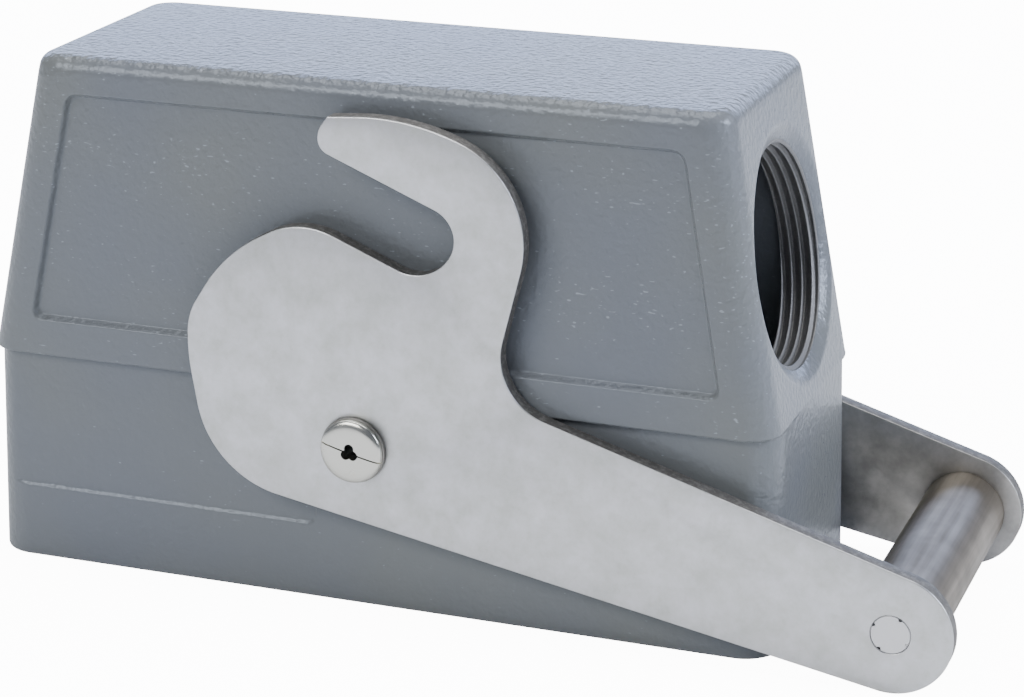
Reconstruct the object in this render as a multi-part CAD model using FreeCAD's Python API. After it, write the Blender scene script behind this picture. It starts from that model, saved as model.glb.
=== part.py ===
"""Coupling hood of a heavy duty rectangular connector, with its locking lever and pin insert.

Millimetres, +Z up. The origin is the middle of the hood's open rim, which stands on z = 0.
+X is the cable entry end and the handle end of the parked lever, -Y is the front.
"""
import FreeCAD, Part
import math
import os
from FreeCAD import Vector

# Flange screws of the pin insert, which the hood is sized around
SCREW_SPACING_LENGTH = 104.0
SCREW_SPACING_WIDTH = 27.0
SCREW_EDGE_DISTANCE = 3.4
FLANGE_CLEARANCE = 0.6

# Hood, outside
LOWER_CORNER_RADIUS = 5.7
UPPER_CORNER_RADIUS = 4.6
STEP_HEIGHT = 31.9
HOOD_HEIGHT = 76.0
LOWER_DRAFT = 0.7
STEP_OVERHANG = 1.0
SIDE_LEAN = 1.5
ENTRY_END_LEAN = 7.9
PLAIN_END_LEAN = 8.9
TOP_EDGE_RADIUS = 2.4
RIM_EDGE_CHAMFER = 0.4

# Hood, inside
RIM_WALL = 4.0
SIDE_WALL = 3.8
END_WALL = 3.6
ROOF = 3.4
CAVITY_DRAFT = 0.3
CAVITY_CORNER_RADIUS = 3.0

# Sunk panels of the long sides, with walls at 45 degrees
PANEL_DEPTH = 1.0
PANEL_SIDE_MARGIN = 7.1
PANEL_BOTTOM_MARGIN = 5.2
PANEL_TOP_MARGIN = 5.6
PANEL_CORNER_RADIUS = 2.6
RELIEF_DEPTH = 0.35
RELIEF_BOTTOM = 11.0
RELIEF_CORNER_RADIUS = 1.8
PIVOT_PAD_HALF_WIDTH = 7.4

# Cable entry, square to the leaning end wall
ENTRY_HEIGHT = 52.0
ENTRY_BORE_RADIUS = 16.0
ENTRY_SPOT_RADIUS = 18.5
ENTRY_SPOT_DEPTH = 1.0
ENTRY_CHAMFER = 0.5
ENTRY_BOSS_RADIUS = 19.6
ENTRY_BOSS_DEPTH = 9.0

# Rim seal and its groove
SEAL_WIDTH = 1.9
SEAL_HEIGHT = 2.0
SEAL_CLEARANCE = 0.15
SEAL_RECESS = 0.25

# Locking lever: outline of a cheek about its pivot, the handle lying along +u
PIVOT_HEIGHT = 24.9
HANDLE_REACH = 78.5
HANDLE_END_RADIUS = 8.5
LEVER_FLOOR_GAP = 0.05
CHEEK_THICKNESS = 2.5
CHEEK_HOOD_GAP = 0.5
NECK_CORNER = (16.9, 13.8, 8.9)
SHOULDER_CORNER = (18.2, 45.7, 14.7)
CROWN_CORNER = (-2.4, 48.9, 33.4)
HOOK_TIP_TOP = (-13.4, 45.6, 0.2)
HOOK_TIP_BACK = (-14.3, 43.7, 3.0)
HOOK_TIP_BOTTOM = (-14.1, 40.8, 2.3)
SLOT_END_TOP = (9.6, 36.5, 4.4)
SLOT_END_BOTTOM = (5.3, 27.0, 6.2)
LOBE_TOP = (-14.4, 30.6, 11.4)
LOBE_BACK = (-24.1, 22.0, 22.3)
LOBE_FLAT = (-28.0, 11.5, 9.8)
LOBE_HEEL = (-27.0, 5.7, 30.4)
HEEL_CORNER = (-20.4, -11.0, 14.9)

# Handle bar: a spacer sleeve on an axle staked flush into both cheeks
SLEEVE_RADIUS = 6.0
AXLE_RADIUS = 3.0
AXLE_FIT = 0.04
SLEEVE_BORE_CLEARANCE = 0.15

# Lever pivots: studs riveted through bosses of the hood wall
STUD_RADIUS = 3.2
STUD_FIT = 0.05
LEVER_RUNNING_FIT = 0.1
PIVOT_BOSS_RADIUS = 6.6
BOSS_CHEEK_GAP = 0.3
STUD_HEAD_RADIUS = 4.6
STUD_HEAD_THICKNESS = 1.1
STUD_HEAD_CHAMFER = 0.35
STUD_TAIL_RADIUS = 4.4
STUD_TAIL_THICKNESS = 1.2
STUD_SLIT_WIDTH = 0.3
STUD_SLIT_DEPTH = 0.5
WASHER_RADIUS = 4.75
WASHER_THICKNESS = 0.6
WASHER_PLAY = 0.1

# Pin insert: insulating body on four corner posts of the hood
INSERT_SEAT_HEIGHT = 17.0
POST_HALF_SIZE = 4.5
POST_HEIGHT = 13.0
POST_TAP_RADIUS = 1.65
FLANGE_THICKNESS = 3.0
FLANGE_CORNER_RADIUS = 2.5
BLOCK_LENGTH = 82.0
BLOCK_WIDTH = 25.0
BLOCK_HEIGHT = 15.0
SHROUD_LENGTH = 83.0
SHROUD_WIDTH = 24.0
SHROUD_WALL = 1.7
SHROUD_REACH = 9.0
SOCKET_DEPTH = 6.5
INSERT_CORNER_RADIUS = 1.5
CONTACTS_PER_ROW = 12
CONTACT_PITCH = 6.5
ROW_SPACING = 13.0

# Contacts, milled with eight flats, and the square clamps and screws that hold their wires
PIN_FLATS = 8
PIN_WIDTH = 2.5
PIN_RECESS = 1.0
PIN_TIP_CHAMFER = 0.4
PIN_FIT = 0.05
CLAMP_WIDTH = 4.2
CLAMP_HEIGHT = 12.0
CLAMP_CLEARANCE = 0.1
WIRE_BORE_WIDTH = 2.8
WIRE_BORE_DEPTH = 8.0
CLAMP_SCREW_WIDTH = 3.0
CLAMP_SCREW_HEIGHT = 7.0
CLAMP_SCREW_CLEARANCE = 0.1
CLAMP_SCREW_INSET = 0.5
SLOT_WIDTH = 0.6
SLOT_DEPTH = 0.7

# Earth contacts at both ends of the insert
EARTH_PLATE_LENGTH = 9.0
EARTH_PLATE_WIDTH = 15.0
EARTH_PLATE_THICKNESS = 1.2
EARTH_BLADE_WIDTH = 8.0
EARTH_BLADE_THICKNESS = 1.0
EARTH_BLADE_REACH = 6.0
EARTH_SCREW_RADIUS = 1.9
EARTH_SCREW_FIT = 0.05
EARTH_HEAD_RADIUS = 3.4
EARTH_HEAD_THICKNESS = 2.2

# Screws that hold the insert; their rounds are twelve-sided
SCREW_SIDES = 12
SCREW_SHANK_RADIUS = 1.55
SCREW_LENGTH = 12.0
SCREW_HEAD_RADIUS = 3.2
SCREW_HEAD_THICKNESS = 2.4
SCREW_HOLE_CLEARANCE = 0.6

# Sizes that follow from the ones above
FLANGE_LENGTH = SCREW_SPACING_LENGTH + 2 * SCREW_EDGE_DISTANCE
FLANGE_WIDTH = SCREW_SPACING_WIDTH + 2 * SCREW_EDGE_DISTANCE
RIM_LENGTH = FLANGE_LENGTH + 2 * (FLANGE_CLEARANCE + RIM_WALL)
RIM_WIDTH = FLANGE_WIDTH + 2 * (FLANGE_CLEARANCE + RIM_WALL)
STEP_HALF_LENGTH = RIM_LENGTH / 2 - LOWER_DRAFT
LOWER_TOP_HALF_WIDTH = RIM_WIDTH / 2 - LOWER_DRAFT
LIP_HALF_WIDTH = LOWER_TOP_HALF_WIDTH + STEP_OVERHANG
UPPER_HEIGHT = HOOD_HEIGHT - STEP_HEIGHT
CHEEK_INNER = LIP_HALF_WIDTH + CHEEK_HOOD_GAP
CHEEK_OUTER = CHEEK_INNER + CHEEK_THICKNESS
LEVER_DROP = PIVOT_HEIGHT - HANDLE_END_RADIUS - LEVER_FLOOR_GAP
LEVER_REST_ANGLE = -math.asin(LEVER_DROP / HANDLE_REACH)
FLANGE_BOTTOM = INSERT_SEAT_HEIGHT - FLANGE_THICKNESS
SHROUD_BOTTOM = FLANGE_BOTTOM - SHROUD_REACH
SOCKET_FLOOR = SHROUD_BOTTOM + SOCKET_DEPTH
BLOCK_TOP = INSERT_SEAT_HEIGHT + BLOCK_HEIGHT
EARTH_X = (SHROUD_LENGTH / 2 + RIM_LENGTH / 2 - RIM_WALL) / 2
EARTH_TOP = FLANGE_BOTTOM
OVERCUT = 1.0
SETBACK_LIMIT = 0.998

X_AXIS = Vector(1, 0, 0)
Y_AXIS = Vector(0, 1, 0)
Z_AXIS = Vector(0, 0, 1)
MIDDLE = Vector(0, 0, 0)


def rounded_wire(corners):
    """Closed wire in the XY plane through (x, y, radius) corners, rounded as far as the edges allow."""
    points = [Vector(x, y, 0) for x, y, radius in corners]
    following = points[1:] + points[:1]
    previous = points[-1:] + points[:-1]
    wanted = []
    for point, before, after, corner in zip(points, previous, following, corners):
        half_angle = (before - point).getAngle(after - point) / 2
        wanted.append((corner[2] / math.tan(half_angle), half_angle))
    share = []
    for index, point in enumerate(points):
        needed = wanted[index][0] + wanted[(index + 1) % len(points)][0]
        share.append(min(1, SETBACK_LIMIT * (following[index] - point).Length / needed))
    arcs = []
    for index, point in enumerate(points):
        setback, half_angle = wanted[index]
        setback *= min(share[index], share[index - 1])
        radius = setback * math.tan(half_angle)
        back = (previous[index] - point).normalize()
        ahead = (following[index] - point).normalize()
        inward = (back + ahead).normalize()
        middle = point + inward * (radius / math.sin(half_angle) - radius)
        arcs.append((point + back * setback, middle, point + ahead * setback))
    edges = []
    for index, (first, middle, last) in enumerate(arcs):
        edges.append(Part.Arc(first, middle, last).toShape())
        edges.append(Part.makeLine(last, arcs[(index + 1) % len(arcs)][0]))
    return Part.Wire(edges)


def rounded_rectangle(x_low, x_high, half_width, radius, height):
    """Level wire of a rectangle with rounded corners, lying at the given height."""
    corners = [(x_low, -half_width), (x_high, -half_width), (x_high, half_width), (x_low, half_width)]
    wire = rounded_wire([(x, y, radius) for x, y in corners])
    wire.translate(Vector(0, 0, height))
    return wire


def rounded_block(length, width, radius, bottom, top):
    """Upright block centred on the Z axis, with rounded vertical edges."""
    wire = rounded_rectangle(-length / 2, length / 2, width / 2, radius, bottom)
    return Part.Face(wire).extrude(Vector(0, 0, top - bottom))


def ring_block(length, width, radius, ring_width, bottom, top):
    """Upright closed band with straight walls, measured to its outside."""
    outer = rounded_block(length, width, radius, bottom, top)
    inner_radius = radius - ring_width
    inner = rounded_block(length - 2 * ring_width, width - 2 * ring_width, inner_radius, bottom, top)
    return outer.cut(inner)


def drafted_block(low, high, radius):
    """Block with flat leaning sides and round corners, each end given as (x low, x high, half width, height)."""
    levels = []
    for x_low, x_high, half_width, height in (low, high):
        ends = [(x_low, -half_width), (x_high, -half_width), (x_high, half_width), (x_low, half_width)]
        levels.append([Vector(x, y, height) for x, y in ends])
    bottom, top = levels
    outlines = [bottom[::-1], top]
    for first, second in ((0, 1), (1, 2), (2, 3), (3, 0)):
        outlines.append([bottom[first], bottom[second], top[second], top[first]])
    faces = [Part.Face(Part.makePolygon(points + points[:1])) for points in outlines]
    block = Part.makeSolid(Part.makeShell(faces))
    level = (high[3] - low[3]) / 2
    return block.makeFillet(radius, [edge for edge in block.Edges if edge.BoundBox.ZLength > level])


def flat_sided_bar(sides, width, bottom, top, x, y):
    """Upright bar at (x, y) with an even number of sides, measured across its flats."""
    radius = width / 2 / math.cos(math.pi / sides)
    turns = [math.pi * (2 * index + 1) / sides for index in range(sides)]
    points = [Vector(x + radius * math.cos(turn), y + radius * math.sin(turn), bottom) for turn in turns]
    return Part.Face(Part.makePolygon(points + points[:1])).extrude(Vector(0, 0, top - bottom))


def screw_round(radius, bottom, top, x, y):
    """Upright bar or hole of a screw at (x, y), from bottom to top."""
    return flat_sided_bar(SCREW_SIDES, 2 * radius, bottom, top, x, y)


def side_face_frame(half_width_low, half_width_high, bottom, top):
    """Frame on the front face of a leaning wall: x along the wall, y up it, z out of it."""
    up = Vector(0, half_width_low - half_width_high, top - bottom).normalize()
    turn = FreeCAD.Rotation(X_AXIS, up, X_AXIS.cross(up), "ZXY")
    return FreeCAD.Placement(Vector(0, -half_width_low, bottom), turn)


def recess_cutter(corners, depth, frame):
    """Solid that sinks a panel with 45 degree walls into the face that the frame lies on."""
    edge = rounded_wire(corners)
    mouth = edge.makeOffset2D(depth)
    mouth.translate(Vector(0, 0, depth))
    floor = edge.makeOffset2D(-depth)
    floor.translate(Vector(0, 0, -depth))
    cutter = Part.makeLoft([mouth, floor], True, True)
    cutter.Placement = frame
    return cutter


def mirror_across(shape, normal):
    """Mirror image of a shape in the plane through the origin with this normal."""
    return shape.mirror(MIDDLE, normal)


def disc(radius, start, end, x, z):
    """Round bar along Y at (x, z), from y = start to y = end."""
    low = min(start, end)
    return Part.makeCylinder(radius, abs(end - start), Vector(x, low, z), Y_AXIS)


def brick(x_range, y_range, z_range):
    """Box between pairs of limits."""
    corner = Vector(x_range[0], y_range[0], z_range[0])
    sizes = [high - low for low, high in (x_range, y_range, z_range)]
    return Part.makeBox(sizes[0], sizes[1], sizes[2], corner)


# Hood shell

def lower_section():
    """Slightly drafted lower half of the hood with its lever reliefs sunk beside the pivot pads."""
    rim = (-RIM_LENGTH / 2, RIM_LENGTH / 2, RIM_WIDTH / 2, 0)
    top = (-STEP_HALF_LENGTH, STEP_HALF_LENGTH, LOWER_TOP_HALF_WIDTH, STEP_HEIGHT)
    body = drafted_block(rim, top, LOWER_CORNER_RADIUS)
    rim_edges = [edge for edge in body.Edges if edge.BoundBox.ZMax < RIM_EDGE_CHAMFER / 2]
    body = body.makeChamfer(RIM_EDGE_CHAMFER, rim_edges)
    frame = side_face_frame(RIM_WIDTH / 2, LOWER_TOP_HALF_WIDTH, 0, STEP_HEIGHT)
    far = RIM_LENGTH
    ceiling = 2 * STEP_HEIGHT
    corners = [
        (PIVOT_PAD_HALF_WIDTH, RELIEF_BOTTOM, RELIEF_CORNER_RADIUS),
        (far, RELIEF_BOTTOM, RELIEF_CORNER_RADIUS),
        (far, ceiling, RELIEF_CORNER_RADIUS),
        (PIVOT_PAD_HALF_WIDTH, ceiling, RELIEF_CORNER_RADIUS),
    ]
    relief = recess_cutter(corners, RELIEF_DEPTH, frame)
    for cutter in (relief, mirror_across(relief, X_AXIS)):
        body = body.cut(cutter).cut(mirror_across(cutter, Y_AXIS))
    return body


def upper_section():
    """Leaning upper half of the hood with a sunk panel on each long side."""
    low = (-STEP_HALF_LENGTH, STEP_HALF_LENGTH, LIP_HALF_WIDTH, STEP_HEIGHT)
    top_half_width = LIP_HALF_WIDTH - SIDE_LEAN
    top = (PLAIN_END_LEAN - STEP_HALF_LENGTH, STEP_HALF_LENGTH - ENTRY_END_LEAN, top_half_width, HOOD_HEIGHT)
    body = drafted_block(low, top, UPPER_CORNER_RADIUS)
    top_edges = [edge for edge in body.Edges if edge.BoundBox.ZMin > HOOD_HEIGHT - TOP_EDGE_RADIUS / 2]
    body = body.makeFillet(TOP_EDGE_RADIUS, top_edges)
    frame = side_face_frame(LIP_HALF_WIDTH, top_half_width, STEP_HEIGHT, HOOD_HEIGHT)
    corners = []
    panel_top = UPPER_HEIGHT - PANEL_TOP_MARGIN
    for height in (PANEL_BOTTOM_MARGIN, panel_top):
        rise = height / UPPER_HEIGHT
        corners.append((PLAIN_END_LEAN * rise + PANEL_SIDE_MARGIN - STEP_HALF_LENGTH, height))
        corners.append((STEP_HALF_LENGTH - ENTRY_END_LEAN * rise - PANEL_SIDE_MARGIN, height))
    ordered = [corners[0], corners[1], corners[3], corners[2]]
    panel = recess_cutter([(x, y, PANEL_CORNER_RADIUS) for x, y in ordered], PANEL_DEPTH, frame)
    return body.cut(panel).cut(mirror_across(panel, Y_AXIS))


def cavity():
    """Core of the casting: open at the rim and drafted so that it draws out downwards."""
    half_length = RIM_LENGTH / 2 - RIM_WALL
    half_width = RIM_WIDTH / 2 - RIM_WALL
    mouth = (-half_length, half_length, half_width, -OVERCUT)
    step = (CAVITY_DRAFT - half_length, half_length - CAVITY_DRAFT, half_width - CAVITY_DRAFT, STEP_HEIGHT)
    plain_end = STEP_HALF_LENGTH - PLAIN_END_LEAN - END_WALL
    entry_end = STEP_HALF_LENGTH - ENTRY_END_LEAN - END_WALL
    roof = (-plain_end, entry_end, LIP_HALF_WIDTH - SIDE_LEAN - SIDE_WALL, HOOD_HEIGHT - ROOF)
    lower = drafted_block(mouth, step, CAVITY_CORNER_RADIUS)
    return lower.fuse(drafted_block(step, roof, CAVITY_CORNER_RADIUS))


def entry_axis():
    """Point on the outside of the entry end at the entry's height, and the way out of it."""
    lean = math.atan2(ENTRY_END_LEAN, UPPER_HEIGHT)
    x = STEP_HALF_LENGTH - ENTRY_END_LEAN * (ENTRY_HEIGHT - STEP_HEIGHT) / UPPER_HEIGHT
    return Vector(x, 0, ENTRY_HEIGHT), Vector(math.cos(lean), 0, math.sin(lean))


def entry_bar(radius, depth, proud):
    """Round bar along the entry axis, from a depth in the wall to a length proud of it."""
    face, outward = entry_axis()
    return Part.makeCylinder(radius, depth + proud, face - outward * depth, outward)


def entry_chamfer_cone():
    """Cone that breaks the edge between the spot face and the bore."""
    face, outward = entry_axis()
    start = face - outward * (ENTRY_SPOT_DEPTH + ENTRY_CHAMFER)
    return Part.makeCone(ENTRY_BORE_RADIUS, ENTRY_BORE_RADIUS + ENTRY_CHAMFER, ENTRY_CHAMFER, start, outward)


def insert_screw_places():
    """The four (x, y) places of the screws that hold the insert."""
    half_length = SCREW_SPACING_LENGTH / 2
    half_width = SCREW_SPACING_WIDTH / 2
    return [(x, y) for x in (-half_length, half_length) for y in (-half_width, half_width)]


def corner_post(x, y):
    """Post that the insert is screwed to, run into the corner walls of the hood."""
    reach = POST_HALF_SIZE + RIM_WALL
    x_range = sorted((x - math.copysign(POST_HALF_SIZE, x), x + math.copysign(reach, x)))
    y_range = sorted((y - math.copysign(POST_HALF_SIZE, y), y + math.copysign(reach, y)))
    return brick(x_range, y_range, (INSERT_SEAT_HEIGHT, INSERT_SEAT_HEIGHT + POST_HEIGHT))


def hood_shell():
    """The cast hood in one piece."""
    solid = lower_section().fuse(upper_section()).removeSplitter()
    shell = solid.cut(cavity())
    inside = [corner_post(x, y) for x, y in insert_screw_places()]
    inside.append(entry_bar(ENTRY_BOSS_RADIUS, ENTRY_BOSS_DEPTH, 0))
    for piece in inside:
        shell = shell.fuse(piece.common(solid))
    boss_start = LOWER_TOP_HALF_WIDTH - SIDE_WALL / 2
    boss = disc(PIVOT_BOSS_RADIUS, boss_start, CHEEK_INNER - BOSS_CHEEK_GAP, 0, PIVOT_HEIGHT)
    shell = shell.fuse(boss).fuse(mirror_across(boss, Y_AXIS))
    shell = shell.cut(entry_bar(ENTRY_BORE_RADIUS, ENTRY_BOSS_DEPTH + OVERCUT, OVERCUT))
    shell = shell.cut(entry_bar(ENTRY_SPOT_RADIUS, ENTRY_SPOT_DEPTH, OVERCUT))
    shell = shell.cut(entry_chamfer_cone())
    bore = disc(STUD_RADIUS + STUD_FIT, -CHEEK_OUTER, CHEEK_OUTER, 0, PIVOT_HEIGHT)
    shell = shell.cut(bore)
    tap_top = INSERT_SEAT_HEIGHT + SCREW_LENGTH
    for x, y in insert_screw_places():
        shell = shell.cut(screw_round(POST_TAP_RADIUS, INSERT_SEAT_HEIGHT - OVERCUT, tap_top, x, y))
    return shell.cut(seal_ring(SEAL_CLEARANCE, -OVERCUT)).removeSplitter()


def seal_ring(clearance, bottom):
    """Band along the middle of the rim wall, as the seal or, with clearance, as its groove."""
    width = SEAL_WIDTH + 2 * clearance
    inset = (RIM_WALL - width) / 2
    radius = LOWER_CORNER_RADIUS - inset
    top = SEAL_RECESS + SEAL_HEIGHT
    return ring_block(RIM_LENGTH - 2 * inset, RIM_WIDTH - 2 * inset, radius, width, bottom, top)


# Locking lever

def lever_frame(distance):
    """Frame of the parked lever: u along the handle, v up, w towards the front at a distance."""
    along = Vector(math.cos(LEVER_REST_ANGLE), 0, math.sin(LEVER_REST_ANGLE))
    turn = FreeCAD.Rotation(along, Vector(-along.z, 0, along.x), -Y_AXIS, "ZXY")
    return FreeCAD.Placement(Vector(0, -distance, PIVOT_HEIGHT), turn)


def handle_centre():
    """The (x, z) place of the handle bar in the parked lever."""
    x = HANDLE_REACH * math.cos(LEVER_REST_ANGLE)
    z = PIVOT_HEIGHT + HANDLE_REACH * math.sin(LEVER_REST_ANGLE)
    return x, z


def handle_end_corner(neighbour, side):
    """Corner of the tip where the edge from a neighbouring corner runs tangent to the round end."""
    base = Vector(neighbour[0] - HANDLE_REACH, neighbour[1], 0)
    normal = math.atan2(base.y, base.x) - side * math.acos(HANDLE_END_RADIUS / base.Length)
    height = HANDLE_END_RADIUS * (1 - math.cos(normal)) / math.sin(normal)
    return (HANDLE_REACH + HANDLE_END_RADIUS, height, HANDLE_END_RADIUS)


def front_cheek():
    """Stamped front cheek: arm, heel, cam lobe and the hook that draws in the mating peg."""
    corners = [
        handle_end_corner(HEEL_CORNER, -1),
        handle_end_corner(NECK_CORNER, 1),
        NECK_CORNER,
        SHOULDER_CORNER,
        CROWN_CORNER,
        HOOK_TIP_TOP,
        HOOK_TIP_BACK,
        HOOK_TIP_BOTTOM,
        SLOT_END_TOP,
        SLOT_END_BOTTOM,
        LOBE_TOP,
        LOBE_BACK,
        LOBE_FLAT,
        LOBE_HEEL,
        HEEL_CORNER,
    ]
    sheet = Part.Face(rounded_wire(corners)).extrude(Vector(0, 0, CHEEK_THICKNESS))
    hole_depth = CHEEK_THICKNESS + 2 * OVERCUT
    for u, radius in ((0, STUD_RADIUS + LEVER_RUNNING_FIT), (HANDLE_REACH, AXLE_RADIUS + AXLE_FIT)):
        sheet = sheet.cut(Part.makeCylinder(radius, hole_depth, Vector(u, 0, -OVERCUT)))
    sheet.Placement = lever_frame(CHEEK_INNER)
    return sheet


def handle_sleeve():
    """Tube that spaces the cheeks and is held by hand."""
    x, z = handle_centre()
    tube = disc(SLEEVE_RADIUS, -CHEEK_INNER, CHEEK_INNER, x, z)
    return tube.cut(disc(AXLE_RADIUS + SLEEVE_BORE_CLEARANCE, -CHEEK_OUTER, CHEEK_OUTER, x, z))


def handle_axle():
    """Rod through the sleeve, staked flush with the outside of both cheeks."""
    x, z = handle_centre()
    return disc(AXLE_RADIUS, -CHEEK_OUTER, CHEEK_OUTER, x, z)


# Lever pivots

def washer_inner_face():
    """Distance of the washer's cheek side from the middle of the hood."""
    return CHEEK_OUTER + WASHER_PLAY


def stud_head_start():
    """Distance of the underside of the stud's head from the middle of the hood."""
    return washer_inner_face() + WASHER_THICKNESS + WASHER_PLAY / 2


def front_stud():
    """Headed stud: slit across its head, tail riveted over inside the hood."""
    wall_inside = RIM_WIDTH / 2 - RIM_WALL - CAVITY_DRAFT * PIVOT_HEIGHT / STEP_HEIGHT - STUD_FIT
    head_start = stud_head_start()
    head_end = head_start + STUD_HEAD_THICKNESS
    rim = STUD_HEAD_RADIUS - STUD_HEAD_CHAMFER
    profile = [
        (0, wall_inside - STUD_TAIL_THICKNESS),
        (STUD_TAIL_RADIUS, wall_inside - STUD_TAIL_THICKNESS),
        (STUD_TAIL_RADIUS, wall_inside),
        (STUD_RADIUS, wall_inside),
        (STUD_RADIUS, head_start),
        (STUD_HEAD_RADIUS, head_start),
        (STUD_HEAD_RADIUS, head_end - STUD_HEAD_CHAMFER),
        (rim, head_end),
        (0, head_end),
    ]
    points = [Vector(radius, 0, distance) for radius, distance in profile]
    stud = Part.Face(Part.makePolygon(points + points[:1])).revolve(MIDDLE, Z_AXIS, 360)
    slit = Part.makeBox(2 * STUD_HEAD_RADIUS, STUD_SLIT_WIDTH, 2 * STUD_SLIT_DEPTH)
    slit.translate(Vector(-STUD_HEAD_RADIUS, -STUD_SLIT_WIDTH / 2, head_end - STUD_SLIT_DEPTH))
    stud = stud.cut(slit)
    stud.Placement = lever_frame(0)
    return stud


def front_washer():
    """Washer between the stud's head and the cheek."""
    start = washer_inner_face()
    end = start + WASHER_THICKNESS
    ring = disc(WASHER_RADIUS, -start, -end, 0, PIVOT_HEIGHT)
    return ring.cut(disc(STUD_RADIUS + LEVER_RUNNING_FIT, 0, -2 * end, 0, PIVOT_HEIGHT))


# Pin insert

def contact_places():
    """The (x, y) places of the contacts, row by row."""
    first = -CONTACT_PITCH * (CONTACTS_PER_ROW - 1) / 2
    columns = [first + CONTACT_PITCH * index for index in range(CONTACTS_PER_ROW)]
    return [(x, y) for y in (-ROW_SPACING / 2, ROW_SPACING / 2) for x in columns]


def clamp_screw_range(y):
    """Start and end along Y of a clamp screw, from its contact to just inside the block."""
    side = math.copysign(1, y)
    return y + side * CLAMP_WIDTH / 2, side * (BLOCK_WIDTH / 2 - CLAMP_SCREW_INSET)


def insert_body():
    """Moulded insulating body: flange, terminal block and the socket round the pins."""
    body = rounded_block(FLANGE_LENGTH, FLANGE_WIDTH, FLANGE_CORNER_RADIUS, FLANGE_BOTTOM, INSERT_SEAT_HEIGHT)
    block = rounded_block(BLOCK_LENGTH, BLOCK_WIDTH, INSERT_CORNER_RADIUS, FLANGE_BOTTOM, BLOCK_TOP)
    shroud = rounded_block(SHROUD_LENGTH, SHROUD_WIDTH, INSERT_CORNER_RADIUS, SHROUD_BOTTOM, INSERT_SEAT_HEIGHT)
    body = body.fuse(block).fuse(shroud).removeSplitter()
    socket_length = SHROUD_LENGTH - 2 * SHROUD_WALL
    socket_width = SHROUD_WIDTH - 2 * SHROUD_WALL
    socket_radius = INSERT_CORNER_RADIUS / 2
    cuts = [rounded_block(socket_length, socket_width, socket_radius, SHROUD_BOTTOM - OVERCUT, SOCKET_FLOOR)]
    pin_hole = PIN_WIDTH + 2 * PIN_FIT
    chamber = CLAMP_WIDTH + 2 * CLAMP_CLEARANCE
    window = (CLAMP_SCREW_WIDTH + 2 * CLAMP_SCREW_CLEARANCE) / 2
    height = INSERT_SEAT_HEIGHT + CLAMP_SCREW_HEIGHT
    for x, y in contact_places():
        cuts.append(flat_sided_bar(PIN_FLATS, pin_hole, SOCKET_FLOOR - OVERCUT, INSERT_SEAT_HEIGHT, x, y))
        cuts.append(flat_sided_bar(4, chamber, INSERT_SEAT_HEIGHT, BLOCK_TOP + OVERCUT, x, y))
        outside = clamp_screw_range(y)[1] + math.copysign(2 * CLAMP_SCREW_INSET, y)
        cuts.append(brick((x - window, x + window), sorted((y, outside)), (height - window, height + window)))
    for x, y in insert_screw_places():
        radius = SCREW_SHANK_RADIUS + SCREW_HOLE_CLEARANCE
        cuts.append(screw_round(radius, FLANGE_BOTTOM - OVERCUT, INSERT_SEAT_HEIGHT + OVERCUT, x, y))
    for x in (-EARTH_X, EARTH_X):
        radius = EARTH_SCREW_RADIUS + EARTH_SCREW_FIT
        cuts.append(screw_round(radius, FLANGE_BOTTOM - OVERCUT, INSERT_SEAT_HEIGHT + OVERCUT, x, 0))
    return body.cut(Part.makeCompound(cuts))


def contact_pin(x, y):
    """Contact: pin with a chamfered tip, and the square clamp that a wire goes into."""
    tip = SHROUD_BOTTOM + PIN_RECESS
    clamp_top = INSERT_SEAT_HEIGHT + CLAMP_HEIGHT
    pin = flat_sided_bar(PIN_FLATS, PIN_WIDTH, tip, INSERT_SEAT_HEIGHT, x, y)
    pin = pin.makeChamfer(PIN_TIP_CHAMFER, [edge for edge in pin.Edges if edge.BoundBox.ZMax < tip + PIN_FIT])
    clamp = flat_sided_bar(4, CLAMP_WIDTH, INSERT_SEAT_HEIGHT, clamp_top, x, y)
    bore = flat_sided_bar(PIN_FLATS, WIRE_BORE_WIDTH, clamp_top - WIRE_BORE_DEPTH, clamp_top + OVERCUT, x, y)
    return pin.fuse(clamp).cut(bore)


def clamp_screw(x, y):
    """Grub screw that bears on a clamp from the side of the block."""
    start, end = clamp_screw_range(y)
    bar = flat_sided_bar(PIN_FLATS, CLAMP_SCREW_WIDTH, min(start, end), max(start, end), 0, 0)
    bar.rotate(MIDDLE, X_AXIS, -90)
    bar.translate(Vector(x, 0, INSERT_SEAT_HEIGHT + CLAMP_SCREW_HEIGHT))
    return bar


def headed_screw(x, y, seat, head, head_radius, shank_radius, length):
    """Slotted pan-head screw along Z; the head lies from its seat to seat + head."""
    screw = screw_round(head_radius, min(seat, seat + head), max(seat, seat + head), x, y)
    shank_end = seat - math.copysign(length, head)
    screw = screw.fuse(screw_round(shank_radius, min(seat, shank_end), max(seat, shank_end), x, y))
    face = seat + head
    slot_range = sorted((face - math.copysign(SLOT_DEPTH, head), face + math.copysign(SLOT_DEPTH, head)))
    slot = brick((x - head_radius, x + head_radius), (y - SLOT_WIDTH / 2, y + SLOT_WIDTH / 2), slot_range)
    return screw.cut(slot)


def insert_screws():
    """The four screws that hold the insert to the corner posts."""
    length = FLANGE_THICKNESS + SCREW_LENGTH - OVERCUT
    screws = []
    for x, y in insert_screw_places():
        screws.append(headed_screw(x, y, FLANGE_BOTTOM, -SCREW_HEAD_THICKNESS, SCREW_HEAD_RADIUS,
                                   SCREW_SHANK_RADIUS, length))
    return Part.makeCompound(screws)


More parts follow.
